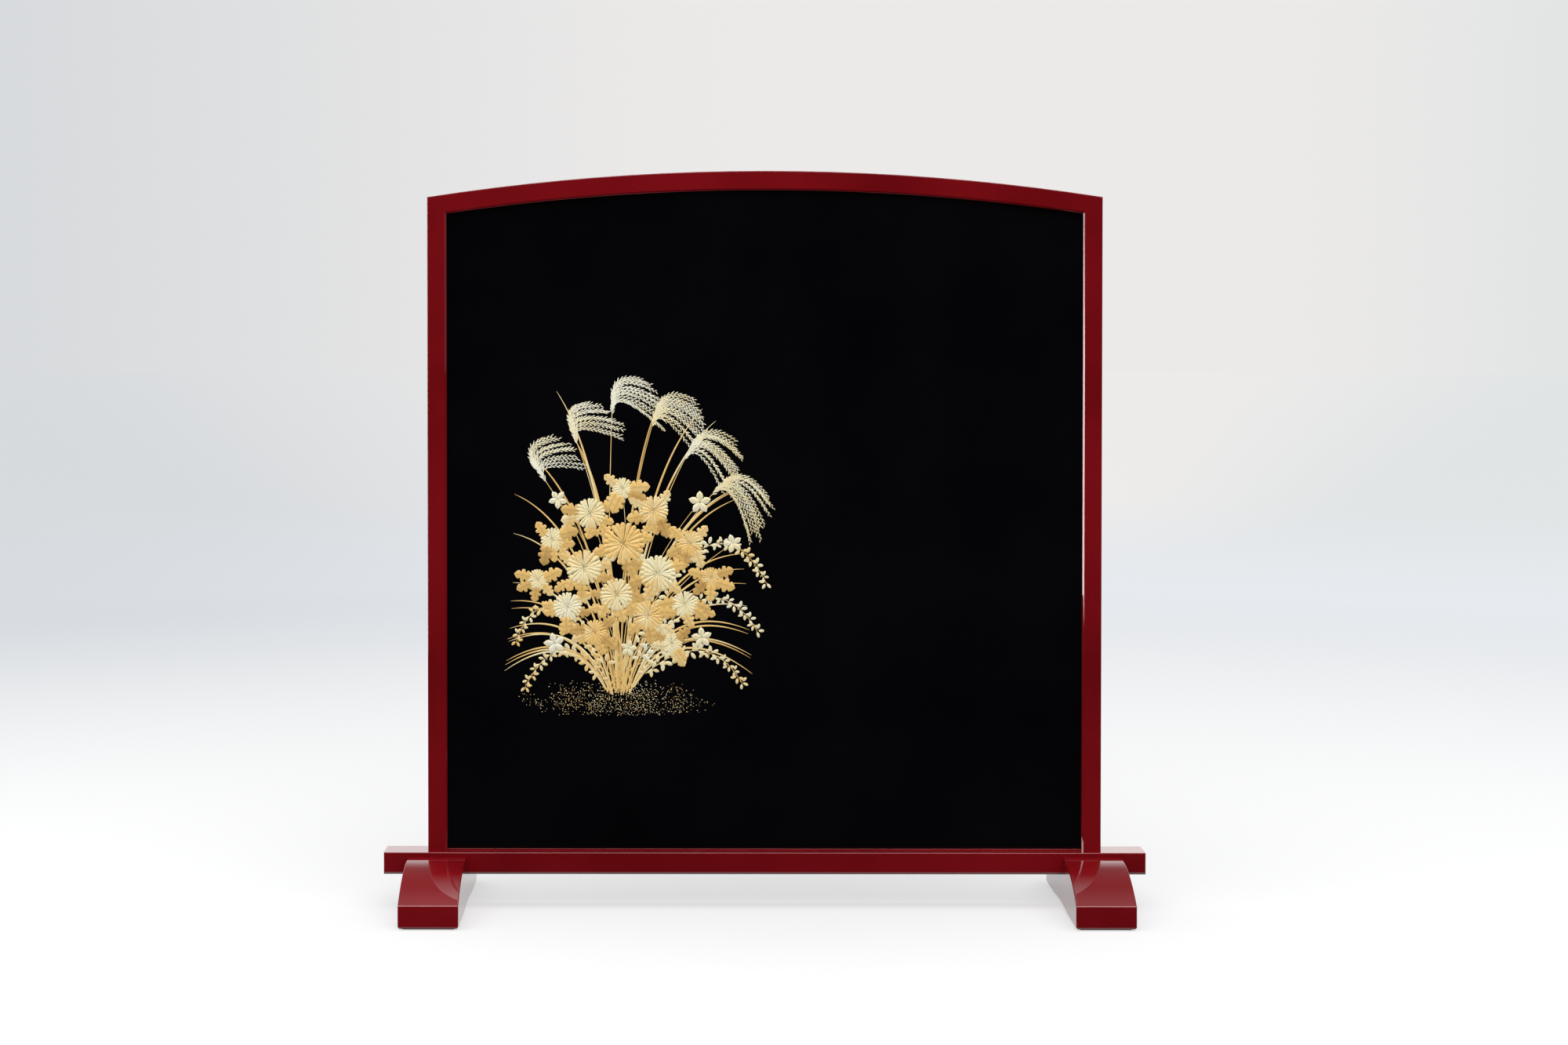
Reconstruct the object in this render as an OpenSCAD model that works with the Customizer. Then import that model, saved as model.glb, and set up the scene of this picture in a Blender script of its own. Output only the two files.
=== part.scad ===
// Freestanding lacquer screen with one arched panel.
// A framed panel drops into a long base rail, and the rail is let into two feet that run front to back.
// Millimetres, +Z up, front towards -Y, origin on the floor at the middle of the footprint.

/* [Base rail] */
// How far the rail runs past the outer side of each foot
rail_overhang = 38; // [10:0.25:80]
// Depth of the rail, front to back
rail_depth = 54; // [50:1:70]
// Height of the rail
rail_height = 35; // [32:0.5:45]
// Chamfer along the rail's lower edges
rail_chamfer = 4; // [1:0.5:6]
// Radius along the rail's upper edges
rail_round = 1.5; // [0.5:0.5:3]
// Radius of the upright edges at the rail's ends
rail_end_round = 2; // [0.5:0.5:4]

/* [Feet] */
// How far the middle of a foot lies outside the middle of its stile
foot_shift = 0; // [-6:0.25:6]
// Width of a foot, side to side
foot_width = 93.5; // [84:0.5:110]
// Length of a foot, front to back
foot_length = 346; // [320:1:400]
// Height of the flat part of a foot's top above the floor
foot_height = 83; // [70:1:90]
// Length of the flat part of the top
foot_flat_length = 62; // [56:1:120]
// Height of the upright nose at each end of a foot
nose_height = 37; // [28:1:44]
// How far the rail is let into a foot
rail_let_in = 27.5; // [16:0.5:32]
// Chamfer round a foot's lower edges
foot_chamfer = 3; // [1:0.5:5]
// Height of the arched relief under the middle of a foot
relief_height = 7; // [5:0.5:10]

/* [Pads] */
// Thickness of the felt pads
pad_thickness = 2; // [1.5:0.5:4]
// Length of a pad, front to back
pad_length = 60; // [50:1:66]
// Distance from a foot's edges to its pads
pad_inset = 7; // [5:0.5:10]

/* [Framed panel] */
// Width of the frame over both stiles
frame_width = 1073; // [800:1:1400]
// Height of the frame's apex above the base rail
frame_height = 1084; // [800:1:1300]
// Rise of the arched top over the frame's shoulders
arch_rise = 41.5; // [25:0.5:80]
// Width of the stiles and the top rail, seen from the front
member_width = 30.5; // [28:0.5:36]
// Thickness of the stiles and the top rail
member_depth = 27; // [24:0.5:34]
// Chamfer on the inner edges of the stiles and the top rail
inner_chamfer = 3; // [1:0.5:4]
// Chamfer on the outer edges of the stiles and the top rail
outer_chamfer = 1; // [0.5:0.1:2]

/* [Panel board] */
// Thickness of the lacquered board
board_thickness = 6; // [4:0.5:8]
// Depth of the groove that holds the board
groove_depth = 9; // [7:0.5:11]
// Gap between the board and each side of its groove
board_gap = 0.2; // [0.1:0.05:0.4]

/* [Sill] */
// Thickness of the sill, front to back
sill_depth = 12; // [10:0.5:16]
// Height of the sill that shows above the rail
sill_show = 2; // [1:0.5:4]
// Height of the sill that is sunk in the rail's groove
sill_sunk = 15; // [13:0.5:18]
// Length of the tongue at each end of the sill
tongue_length = 9; // [6:0.5:12]
// Height of the tongue
tongue_height = 6; // [4:0.5:6]
// Thickness of the tongue
tongue_depth = 6; // [4:0.5:7]
// Step from the sill's underside up to the tongue
tongue_step = 1; // [0.5:0.5:2]

/* [Tenons] */
// Width of a stile's tenon, side to side
tenon_width = 25; // [22:0.5:26]
// Thickness of a stile's tenon, front to back
tenon_depth = 14; // [12:0.5:16]
// How far the tenon reaches into the foot below the rail
tenon_reach = 21; // [12:1:26]
// Gap round the tenons and the sill in the base
slide_gap = 0.3; // [0.2:0.05:0.6]

/* [Corner keys] */
// Length of each leg of a corner key
key_leg = 42; // [30:1:60]
// Thickness of a corner key
key_depth = 7; // [5:0.5:9]
// Wood left between a key and the frame's outer faces
key_cover = 4; // [3:0.5:6]
// Wood left between a key and the board's groove
key_wall = 1; // [0.5:0.5:2]
// Gap between a key and its slot
key_gap = 0.15; // [0.1:0.05:0.3]

/* [Fasteners] */
// Diameter of the bolts' shanks
bolt_d = 6; // [5:0.5:7]
// Length of the bolts below the head
bolt_length = 44; // [40:1:50]
// Diameter of the bolt heads
bolt_head_d = 10; // [9:0.5:12]
// Height of the bolt heads
bolt_head_h = 6; // [4:0.5:7]
// Width of the hex socket in the heads, across its corners
hex_socket_d = 5.8; // [4:0.1:6.4]
// Depth of the hex socket
hex_socket_depth = 3; // [2:0.5:4]
// Distance of the bolts from the middle of the rail
bolt_offset = 17; // [16:0.5:19]
// Outer diameter of the washers
washer_d = 16; // [13:0.5:18]
// Thickness of the washers
washer_thickness = 1.5; // [1:0.25:2]
// Diameter of the counterbores that hide the bolt heads
counterbore_d = 19; // [17:0.5:22]
// Wood left in a foot between the washer and the rail
clamp_height = 28; // [24:1:34]
// Outer diameter of the threaded inserts
insert_d = 10; // [9:0.5:12]
// Length of the threaded inserts
insert_length = 15; // [10:0.5:18]
// Diameter of the pegs that lock the sill
peg_d = 4; // [3:0.5:4.5]
// Gap round pegs, inserts and bolts
fastener_gap = 0.1; // [0.05:0.05:0.2]
// Gap round the bolts where they pass through a foot
bolt_clearance = 0.5; // [0.3:0.1:1]

/* [Hidden] */
$fn = 96;

red = "#7a1219";
black = "#0a0a0c";
bare_wood = "#c8a878";
brass = "#b9933f";
steel = "#a8aaad";
felt = "#2a2420";

// Cutters run past the faces that they open by this much.
past = 1;

// Levels of the base
foot_bottom = pad_thickness;
rail_bottom = foot_height - rail_let_in;
rail_top = rail_bottom + rail_height;
tenon_bottom = rail_bottom - tenon_reach;

// Half sizes that many pieces share. The feet follow the stiles, and the rail follows the feet.
half_frame = frame_width / 2;
half_opening = half_frame - member_width;
foot_spacing = frame_width - member_width + 2 * foot_shift;
rail_length = foot_spacing + foot_width + 2 * rail_overhang;
half_foot = foot_length / 2;
half_flat = foot_flat_length / 2;

// Outer and inner arcs of the frame's top share one centre below the panel.
frame_top = rail_top + frame_height;
shoulder_top = frame_top - arch_rise;
arc_outer = (half_frame * half_frame + arch_rise * arch_rise) / (2 * arch_rise);
arc_inner = arc_outer - member_width;
arc_centre = frame_top - arc_outer;
inner_corner = arc_centre + sqrt(arc_inner * arc_inner - half_opening * half_opening);
arc_half_angle = asin(half_frame / arc_outer);

// The crowned top of a foot falls along one arc from the flat to the nose.
crown_run = half_foot - half_flat;
crown_fall = foot_height - nose_height;
crown_radius = (crown_run * crown_run + crown_fall * crown_fall) / (2 * crown_fall);

// The relief is a shallow arc between the pads.
relief_half = half_foot - 2 * pad_inset - pad_length;
relief_radius = (relief_half * relief_half + relief_height * relief_height) / (2 * relief_height);

// The sill, with the groove for the board in its top
sill_top = rail_top + sill_show;
sill_bottom = rail_top - sill_sunk;
tongue_bottom = sill_bottom + tongue_step;
board_bottom = sill_top - groove_depth + board_gap;
board_reach = groove_depth - board_gap;
groove_width = board_thickness + 2 * board_gap;

// Bolts, seen from below
washer_seat = rail_bottom - clamp_height;
head_seat = washer_seat - washer_thickness;
peg_x = half_opening + tongue_length / 2;
peg_z = tongue_bottom + tongue_height / 2;

// A copy on each side, the right one mirrored
module on_side(side) {
    mirror([side < 0 ? 1 : 0, 0, 0]) children();
}

// Children drawn in X and Z get a thickness in Y, about the middle plane.
module slab(thickness) {
    translate([0, thickness / 2, 0]) rotate([90, 0, 0]) linear_extrude(height = thickness) children();
}

// Places of the four bolts
module at_bolts(z) {
    for (side = [-1, 1], end = [-1, 1])
        translate([side * foot_spacing / 2, end * bolt_offset, z]) children();
}

// Bar section in depth and height: rounded above, chamfered below, middle of its base at the origin
module rail_section() {
    half = rail_depth / 2;
    polygon([
        [-half + rail_chamfer, 0], [half - rail_chamfer, 0], [half, rail_chamfer],
        [half, rail_height - rail_round], [half - rail_round, rail_height],
        [-half + rail_round, rail_height], [-half, rail_height - rail_round], [-half, rail_chamfer]
    ]);
    for (side = [-1, 1])
        translate([side * (half - rail_round), rail_height - rail_round]) circle(r = rail_round);
}

// Plan of the rail with softened upright edges at its ends
module rail_plan() {
    square([rail_length - 2 * rail_end_round, rail_depth], center = true);
    square([rail_length, rail_depth - 2 * rail_end_round], center = true);
    for (x = [-1, 1], y = [-1, 1])
        translate([x * (rail_length / 2 - rail_end_round), y * (rail_depth / 2 - rail_end_round)])
            circle(r = rail_end_round);
}

// Space that a stile's tenon needs, grown by a gap
module tenon_space(gap, bottom, top) {
    translate([half_opening - gap, -tenon_depth / 2 - gap, bottom - gap])
        cube([tenon_width + 2 * gap, tenon_depth + 2 * gap, top - bottom + gap]);
}

module base_rail() {
    color(red) difference() {
        intersection() {
            translate([-rail_length / 2, 0, rail_bottom]) rotate([90, 0, 90])
                linear_extrude(height = rail_length) rail_section();
            translate([0, 0, rail_bottom - past]) linear_extrude(height = rail_height + 2 * past) rail_plan();
        }
        // Groove for the sill, from mortise to mortise
        translate([-half_opening, -sill_depth / 2 - slide_gap, sill_bottom - slide_gap])
            cube([2 * half_opening, sill_depth + 2 * slide_gap, sill_sunk + slide_gap + past]);
        // Through mortises for the stile tenons
        for (side = [-1, 1]) on_side(side) tenon_space(slide_gap, rail_bottom - past, rail_top + past);
        // Pockets for the threaded inserts
        at_bolts(rail_bottom - past)
            cylinder(d = insert_d + 2 * fastener_gap, h = insert_length + fastener_gap + past);
    }
}

// Side outline of a foot, in depth and height
module foot_outline() {
    difference() {
        union() {
            translate([-half_flat, foot_bottom]) square([foot_flat_length, foot_height - foot_bottom]);
            for (end = [0, 1]) mirror([end, 0]) intersection() {
                translate([half_flat, foot_height - crown_radius]) circle(r = crown_radius, $fn = 360);
                polygon([
                    [0, foot_bottom], [half_foot - foot_chamfer, foot_bottom],
                    [half_foot, foot_bottom + foot_chamfer], [half_foot, foot_height + past],
                    [0, foot_height + past]
                ]);
            }
        }
        translate([0, foot_bottom + relief_height - relief_radius]) circle(r = relief_radius, $fn = 720);
    }
}

// Front outline of a foot: chamfered lower edges
module foot_front() {
    half = foot_width / 2;
    polygon([
        [-half + foot_chamfer, foot_bottom], [half - foot_chamfer, foot_bottom],
        [half, foot_bottom + foot_chamfer], [half, foot_height], [-half, foot_height],
        [-half, foot_bottom + foot_chamfer]
    ]);
}

module foot() {
    difference() {
        intersection() {
            translate([foot_spacing / 2 - foot_width / 2, 0, 0]) rotate([90, 0, 90])
                linear_extrude(height = foot_width) foot_outline();
            translate([foot_spacing / 2, 0, 0]) slab(foot_length) foot_front();
        }
        // Notch that takes the rail
        translate([foot_spacing / 2 - foot_width / 2 - past, -rail_depth / 2, rail_bottom])
            cube([foot_width + 2 * past, rail_depth, rail_let_in + past]);
        // Socket for the end of the stile's tenon
        tenon_space(slide_gap, tenon_bottom, rail_bottom + past);
        // Bolt holes and the counterbores that hide the heads
        for (end = [-1, 1]) translate([foot_spacing / 2, end * bolt_offset, 0]) {
            cylinder(d = bolt_d + 2 * bolt_clearance, h = rail_bottom + past);
            cylinder(d = counterbore_d, h = washer_seat);
        }
    }
}

module left_foot() { color(red) on_side(-1) foot(); }
module right_foot() { color(red) on_side(1) foot(); }

// One felt pad; end is -1 at the front and 1 at the rear
module pad(end) {
    width = foot_width - 2 * pad_inset;
    translate([foot_spacing / 2 - width / 2, end * (half_foot - pad_inset - pad_length / 2) - pad_length / 2, 0])
        cube([width, pad_length, pad_thickness]);
}

module left_front_pad() { color(felt) on_side(-1) pad(-1); }
module left_rear_pad() { color(felt) on_side(-1) pad(1); }
module right_front_pad() { color(felt) on_side(1) pad(-1); }
module right_rear_pad() { color(felt) on_side(1) pad(1); }

module foot_bolts() {
    color(steel) at_bolts(head_seat) difference() {
        union() {
            cylinder(d = bolt_d, h = bolt_length);
            translate([0, 0, -bolt_head_h]) cylinder(d = bolt_head_d, h = bolt_head_h);
        }
        translate([0, 0, -bolt_head_h - past]) cylinder(d = hex_socket_d, h = hex_socket_depth + past, $fn = 6);
    }
}

module bolt_washers() {
    color(steel) at_bolts(head_seat) difference() {
        cylinder(d = washer_d, h = washer_thickness);
        translate([0, 0, -past]) cylinder(d = bolt_d + 2 * fastener_gap, h = washer_thickness + 2 * past);
    }
}

module rail_inserts() {
    color(brass) at_bolts(rail_bottom) difference() {
        cylinder(d = insert_d, h = insert_length);
        translate([0, 0, -past]) cylinder(d = bolt_d + 2 * fastener_gap, h = insert_length + 2 * past);
    }
}

// Section of a stile or the top rail. X runs from the opening (0) outwards, Y is the depth.
// All edges are chamfered, the inner ones deeply, and a groove for the board opens at X = 0.
module member_section() {
    half = member_depth / 2;
    groove = groove_width / 2;
    polygon([
        [0, -groove], [0, -half + inner_chamfer], [inner_chamfer, -half],
        [member_width - outer_chamfer, -half], [member_width, -half + outer_chamfer],
        [member_width, half - outer_chamfer], [member_width - outer_chamfer, half],
        [inner_chamfer, half], [0, half - inner_chamfer], [0, groove],
        [groove_depth, groove], [groove_depth, -groove]
    ]);
}

// Region on the stile's side of the right mitre, in X and Z
module stile_side() {
    run = half_frame - half_opening;
    rise = shoulder_top - inner_corner;
    reach = 3;
    polygon([
        [half_opening - reach * run, -past], [half_frame + reach * run, -past],
        [half_frame + reach * run, shoulder_top + reach * rise],
        [half_opening - reach * run, inner_corner - reach * rise]
    ]);
}

// Outline of a corner key, in X and Z, grown by a gap
module key_outline(gap) {
    outer = half_frame - key_cover + gap;
    inner = half_opening + groove_depth + key_wall - gap;
    leg = key_leg + 2 * gap;
    low = shoulder_top - key_cover - key_leg - gap;
    difference() {
        intersection() {
            translate([outer - leg, low]) square([leg, key_leg + arch_rise]);
            translate([0, arc_centre]) circle(r = arc_outer - key_cover + gap, $fn = 1440);
        }
        intersection() {
            translate([0, low - past]) square([inner, key_leg + arch_rise]);
            translate([0, arc_centre]) circle(r = arc_inner + groove_depth + key_wall - gap, $fn = 1440);
        }
    }
}

module stile() {
    difference() {
        union() {
            intersection() {
                translate([half_opening, 0, rail_top])
                    linear_extrude(height = shoulder_top - rail_top) member_section();
                slab(member_depth + 2 * past) stile_side();
            }
            tenon_space(0, tenon_bottom, rail_top);
        }
        // The board's groove runs on into the tenon, as low as the sill's groove
        translate([half_opening - past, -groove_width / 2, sill_top - groove_depth])
            cube([groove_depth + past, groove_width, groove_depth]);
        // Mortise for the sill's tongue
        translate([half_opening - past, -tongue_depth / 2 - key_gap, tongue_bottom - key_gap])
            cube([tongue_length + key_gap + past, tongue_depth + 2 * key_gap, tongue_height + 2 * key_gap]);
        // Peg hole through tenon and tongue
        translate([peg_x, tenon_depth / 2 + past, peg_z]) rotate([90, 0, 0])
            cylinder(d = peg_d + 2 * fastener_gap, h = tenon_depth + 2 * past);
        slab(key_depth + 2 * key_gap) key_outline(key_gap);
    }
}

module left_stile() { color(red) on_side(-1) stile(); }
module right_stile() { color(red) on_side(1) stile(); }

module top_rail() {
    color(red) difference() {
        translate([0, 0, arc_centre]) rotate([90, 0, 0])
            rotate([0, 0, 90 - arc_half_angle - 1])
                rotate_extrude(angle = 2 * arc_half_angle + 2, $fn = 1440)
                    translate([arc_inner, 0]) member_section();
        for (side = [-1, 1]) on_side(side) {
            slab(member_depth + 2 * past) stile_side();
            slab(key_depth + 2 * key_gap) key_outline(key_gap);
        }
    }
}

module left_corner_key() { color(bare_wood) on_side(-1) slab(key_depth) key_outline(0); }
module right_corner_key() { color(bare_wood) on_side(1) slab(key_depth) key_outline(0); }

module sill() {
    color(red) difference() {
        union() {
            translate([-half_opening, -sill_depth / 2, sill_bottom])
                cube([2 * half_opening, sill_depth, sill_show + sill_sunk]);
            for (side = [-1, 1]) on_side(side)
                translate([half_opening - past, -tongue_depth / 2, tongue_bottom])
                    cube([tongue_length + past, tongue_depth, tongue_height]);
        }
        // Groove for the board
        translate([-half_opening - past, -groove_width / 2, sill_top - groove_depth])
            cube([2 * half_opening + 2 * past, groove_width, groove_depth + past]);
        // Peg holes through the tongues
        for (side = [-1, 1]) translate([side * peg_x, sill_depth / 2, peg_z]) rotate([90, 0, 0])
            cylinder(d = peg_d + 2 * fastener_gap, h = sill_depth);
    }
}

module panel_board() {
    half = half_opening + board_reach;
    color(black) slab(board_thickness) intersection() {
        translate([-half, board_bottom]) square([2 * half, frame_top - board_bottom]);
        translate([0, arc_centre]) circle(r = arc_inner + board_reach, $fn = 1440);
    }
}

module sill_pegs() {
    color(bare_wood) for (side = [-1, 1])
        translate([side * peg_x, tenon_depth / 2, peg_z]) rotate([90, 0, 0]) cylinder(d = peg_d, h = tenon_depth);
}

left_foot();
right_foot();
base_rail();
left_front_pad();
left_rear_pad();
right_front_pad();
right_rear_pad();
foot_bolts();
bolt_washers();
rail_inserts();
left_stile();
right_stile();
top_rail();
sill();
panel_board();
left_corner_key();
right_corner_key();
sill_pegs();
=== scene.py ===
"""Looks of a freestanding lacquer screen: red members, a black board with gold relief, studio and camera."""

import logging
import math
import random
from dataclasses import dataclass
from enum import Enum
from typing import Any, Callable, Iterable

import bmesh
import bpy
from mathutils import Matrix, Vector


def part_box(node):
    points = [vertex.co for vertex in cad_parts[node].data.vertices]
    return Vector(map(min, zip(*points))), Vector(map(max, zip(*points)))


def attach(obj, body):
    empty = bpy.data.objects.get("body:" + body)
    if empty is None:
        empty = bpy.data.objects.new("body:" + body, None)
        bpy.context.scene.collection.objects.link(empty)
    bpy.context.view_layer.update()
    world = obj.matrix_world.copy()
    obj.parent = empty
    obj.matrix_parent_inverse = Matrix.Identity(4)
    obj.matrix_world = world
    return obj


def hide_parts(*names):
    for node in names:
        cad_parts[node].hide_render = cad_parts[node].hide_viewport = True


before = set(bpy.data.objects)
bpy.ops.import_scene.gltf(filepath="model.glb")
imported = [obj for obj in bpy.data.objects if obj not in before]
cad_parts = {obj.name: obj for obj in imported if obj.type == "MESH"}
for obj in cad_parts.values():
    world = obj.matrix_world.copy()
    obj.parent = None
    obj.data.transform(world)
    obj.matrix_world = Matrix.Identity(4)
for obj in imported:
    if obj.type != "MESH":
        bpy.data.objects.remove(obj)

LOG = logging.getLogger("screen")
MM = 0.001
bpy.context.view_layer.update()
Point = tuple[float, float]
Pair = tuple[float, float]
Span = tuple[float, float]
Triple = tuple[float, float, float]
Colour = tuple[float, float, float, float]
Line = list[Vector]
Socket = bpy.types.NodeSocket
FaceTest = Callable[[bmesh.types.BMFace], bool]
WidthRule = Callable[[int, float], float]
ToneRule = Callable[[int], float]
# Where most of a noise's values lie, and where nearly all of them do.
MOST_NOISE: Span = (0.3, 0.7)
ALL_NOISE: Span = (0.2, 0.8)


def srgb(red: int, green: int, blue: int) -> Colour:
    """Turn a colour as seen on a display into the linear values that shaders use.

    Args:
        red: Red, 0 to 255.
        green: Green, 0 to 255.
        blue: Blue, 0 to 255.

    Returns:
        The linear colour, opaque.
    """
    shares = [level / 255 for level in (red, green, blue)]
    linear = [s / 12.92 if s <= 0.04045 else ((s + 0.055) / 1.055) ** 2.4 for s in shares]
    return (linear[0], linear[1], linear[2], 1.0)


class Wires:
    """Short calls that add and join the nodes of one tree, for materials and for geometry alike."""

    def __init__(self, tree: bpy.types.NodeTree) -> None:
        """Keep the tree that the calls work on."""
        self.tree = tree

    def add(self, kind: str, inputs: dict[Any, Any] | None = None, **settings: Any) -> bpy.types.Node:
        """Add a node, set its own properties and feed its inputs.

        Args:
            kind: The node's type.
            inputs: Values or output sockets, by the input's name or number.
            settings: The node's own properties.

        Returns:
            The new node.
        """
        node = self.tree.nodes.new(kind)
        for name, value in settings.items():
            setattr(node, name, value)
        for key, value in (inputs or {}).items():
            self.feed(node.inputs[key], value)
        return node

    def feed(self, socket: Socket, value: Any) -> None:
        """Link a socket to another one, or set its value.

        Args:
            socket: The input to feed.
            value: An output socket or a plain value.
        """
        if isinstance(value, Socket):
            self.tree.links.new(value, socket)
        else:
            socket.default_value = value

    def math(self, operation: str, first: Any, second: Any = 0.0) -> Socket:
        """Work out one number from one or two others, with the operation's name, such as ADD."""
        return self.add("ShaderNodeMath", {0: first, 1: second}, operation=operation).outputs[0]

    def ramp(self, value: Any, low: float, high: float, start: float = 0.0, end: float = 1.0,
             smooth: bool = True) -> Socket:
        """Map a range of a value onto another range, held at both ends.

        Args:
            value: The number to map.
            low: Where the result starts to change.
            high: Where it stops.
            start: The result at low.
            end: The result at high.
            smooth: Whether the ends are eased.

        Returns:
            The socket that holds the result.
        """
        easing = "SMOOTHSTEP" if smooth else "LINEAR"
        inputs = {0: value, 1: low, 2: high, 3: start, 4: end}
        return self.add("ShaderNodeMapRange", inputs, interpolation_type=easing).outputs[0]

    def blend(self, share: Any, first: Any, second: Any, mode: str = "MIX") -> Socket:
        """Mix two colours. The share says how much of the second one shows."""
        inputs = {0: share, 6: first, 7: second}
        return self.add("ShaderNodeMix", inputs, data_type="RGBA", blend_type=mode).outputs[2]

    def noise(self, where: Any, scale: float, detail: float = 2.0, roughness: float = 0.5) -> Socket:
        """Add cloudy noise with a mean near one half. Its scale is in cells per metre."""
        inputs = {"Vector": where, "Scale": scale, "Detail": detail, "Roughness": roughness}
        return self.add("ShaderNodeTexNoise", inputs).outputs[0]

    def sight(self) -> tuple[Socket, Socket, Socket]:
        """Tell the rays apart that ask a surface for its light.

        Returns:
            Whether a ray is the camera's own, whether it is mirrored or let through, and whether either.
        """
        path = self.add("ShaderNodeLightPath").outputs
        mirrored = self.math("MAXIMUM", path["Is Glossy Ray"], path["Is Transmission Ray"])
        return path["Is Camera Ray"], mirrored, self.math("MAXIMUM", path["Is Camera Ray"], mirrored)


class Paint(Wires):
    """One material under construction, read in the coordinates of the object, which are the frame's own."""

    def __init__(self, name: str) -> None:
        """Start an empty material.

        Args:
            name: The material's name.
        """
        self.material = bpy.data.materials.new(name)
        self.material.use_nodes = True
        super().__init__(self.material.node_tree)
        self.tree.nodes.clear()
        self.place = self.add("ShaderNodeTexCoord").outputs["Object"]

    def bump(self, height: Any, depth: float, under: Any = None) -> Socket:
        """Raise the surface by a height map.

        Args:
            height: The map, 0 to 1.
            depth: What a height of 1 is worth, in metres.
            under: The normal that this bump is added to.

        Returns:
            The socket that holds the new normal.
        """
        node = self.add("ShaderNodeBump", {"Height": height, "Distance": depth, "Strength": 1.0})
        if under is not None:
            self.feed(node.inputs["Normal"], under)
        return node.outputs[0]

    def stretched(self, factors: Triple) -> Socket:
        """Scale the object's coordinates along X, Y and Z, so that a pattern runs along an axis."""
        return self.add("ShaderNodeMapping", {"Vector": self.place, "Scale": factors}).outputs[0]

    def finish(self, **inputs: Any) -> bpy.types.Material:
        """Close the material with one principled shader.

        Args:
            inputs: The shader's inputs, with underscores for spaces.

        Returns:
            The finished material.
        """
        named = {name.replace("_", " "): value for name, value in inputs.items()}
        shader = self.add("ShaderNodeBsdfPrincipled", named)
        self.add("ShaderNodeOutputMaterial", {"Surface": shader.outputs[0]})
        return self.material


class Slot(Enum):
    """The record's material slots."""

    RED = "red_lacquer"
    BLACK = "black_lacquer"
    GOLD = "gold_relief"
    WOOD = "bare_wood"
    FELT = "felt"
    STEEL = "steel"
    BRASS = "brass"


@dataclass(frozen=True)
class RedLacquer:
    """Deep red lacquer, rubbed down and polished until it mirrors."""

    deep: Colour = srgb(106, 6, 13)
    clear: Colour = srgb(124, 12, 20)
    cloud_scale: float = 4.0
    wave_scale: float = 3.0
    wave_depth: float = 0.12 * MM
    grain_scale: float = 700.0
    grain_depth: float = 0.01 * MM
    body_roughness: Span = (0.3, 0.4)
    body_shine: float = 0.04
    body_ior: float = 1.5
    coat_roughness: float = 0.02
    coat_ior: float = 1.54

    def material(self) -> bpy.types.Material:
        """Build the lacquer: a slightly clouded body under a clear, very flat coat.

        Returns:
            The finished material.
        """
        paint = Paint("red_lacquer_mirror")
        clouds = paint.noise(paint.place, self.cloud_scale, detail=3.0)
        colour = paint.blend(paint.ramp(clouds, *MOST_NOISE), self.deep, self.clear)
        waves = paint.bump(paint.noise(paint.place, self.wave_scale, detail=1.0), self.wave_depth)
        grain = paint.noise(paint.place, self.grain_scale)
        fine = paint.bump(grain, self.grain_depth, waves)
        roughness = paint.ramp(grain, *ALL_NOISE, *self.body_roughness)
        return paint.finish(
            Base_Color=colour, Roughness=roughness, IOR=self.body_ior, Specular_IOR_Level=self.body_shine,
            Normal=fine, Coat_Weight=1.0, Coat_Roughness=self.coat_roughness, Coat_IOR=self.coat_ior,
            Coat_Normal=waves,
        )


@dataclass(frozen=True)
class BlackLacquer:
    """Black lacquer, the flattest and most polished surface of the piece."""

    deep: Colour = srgb(3, 3, 5)
    clear: Colour = srgb(7, 6, 9)
    cloud_scale: float = 5.0
    wave_scale: float = 2.5
    wave_depth: float = 0.2 * MM
    grain_scale: float = 1200.0
    cloud_span: Span = (0.25, 0.75)
    body_roughness: Span = (0.10, 0.16)
    body_shine: float = 0.02
    coat_roughness: float = 0.01
    ior: float = 1.5

    def material(self) -> bpy.types.Material:
        """Build the lacquer: near black, with the faintest clouding below the coat.

        Returns:
            The finished material.
        """
        paint = Paint("black_lacquer_mirror")
        clouds = paint.noise(paint.place, self.cloud_scale, detail=4.0)
        colour = paint.blend(paint.ramp(clouds, *self.cloud_span), self.deep, self.clear)
        waves = paint.bump(paint.noise(paint.place, self.wave_scale, detail=1.0), self.wave_depth)
        grain = paint.noise(paint.place, self.grain_scale)
        roughness = paint.ramp(grain, *ALL_NOISE, *self.body_roughness)
        return paint.finish(
            Base_Color=colour, Roughness=roughness, IOR=self.ior, Specular_IOR_Level=self.body_shine,
            Normal=waves, Coat_Weight=1.0, Coat_Roughness=self.coat_roughness, Coat_IOR=self.ior,
            Coat_Normal=waves,
        )


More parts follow.
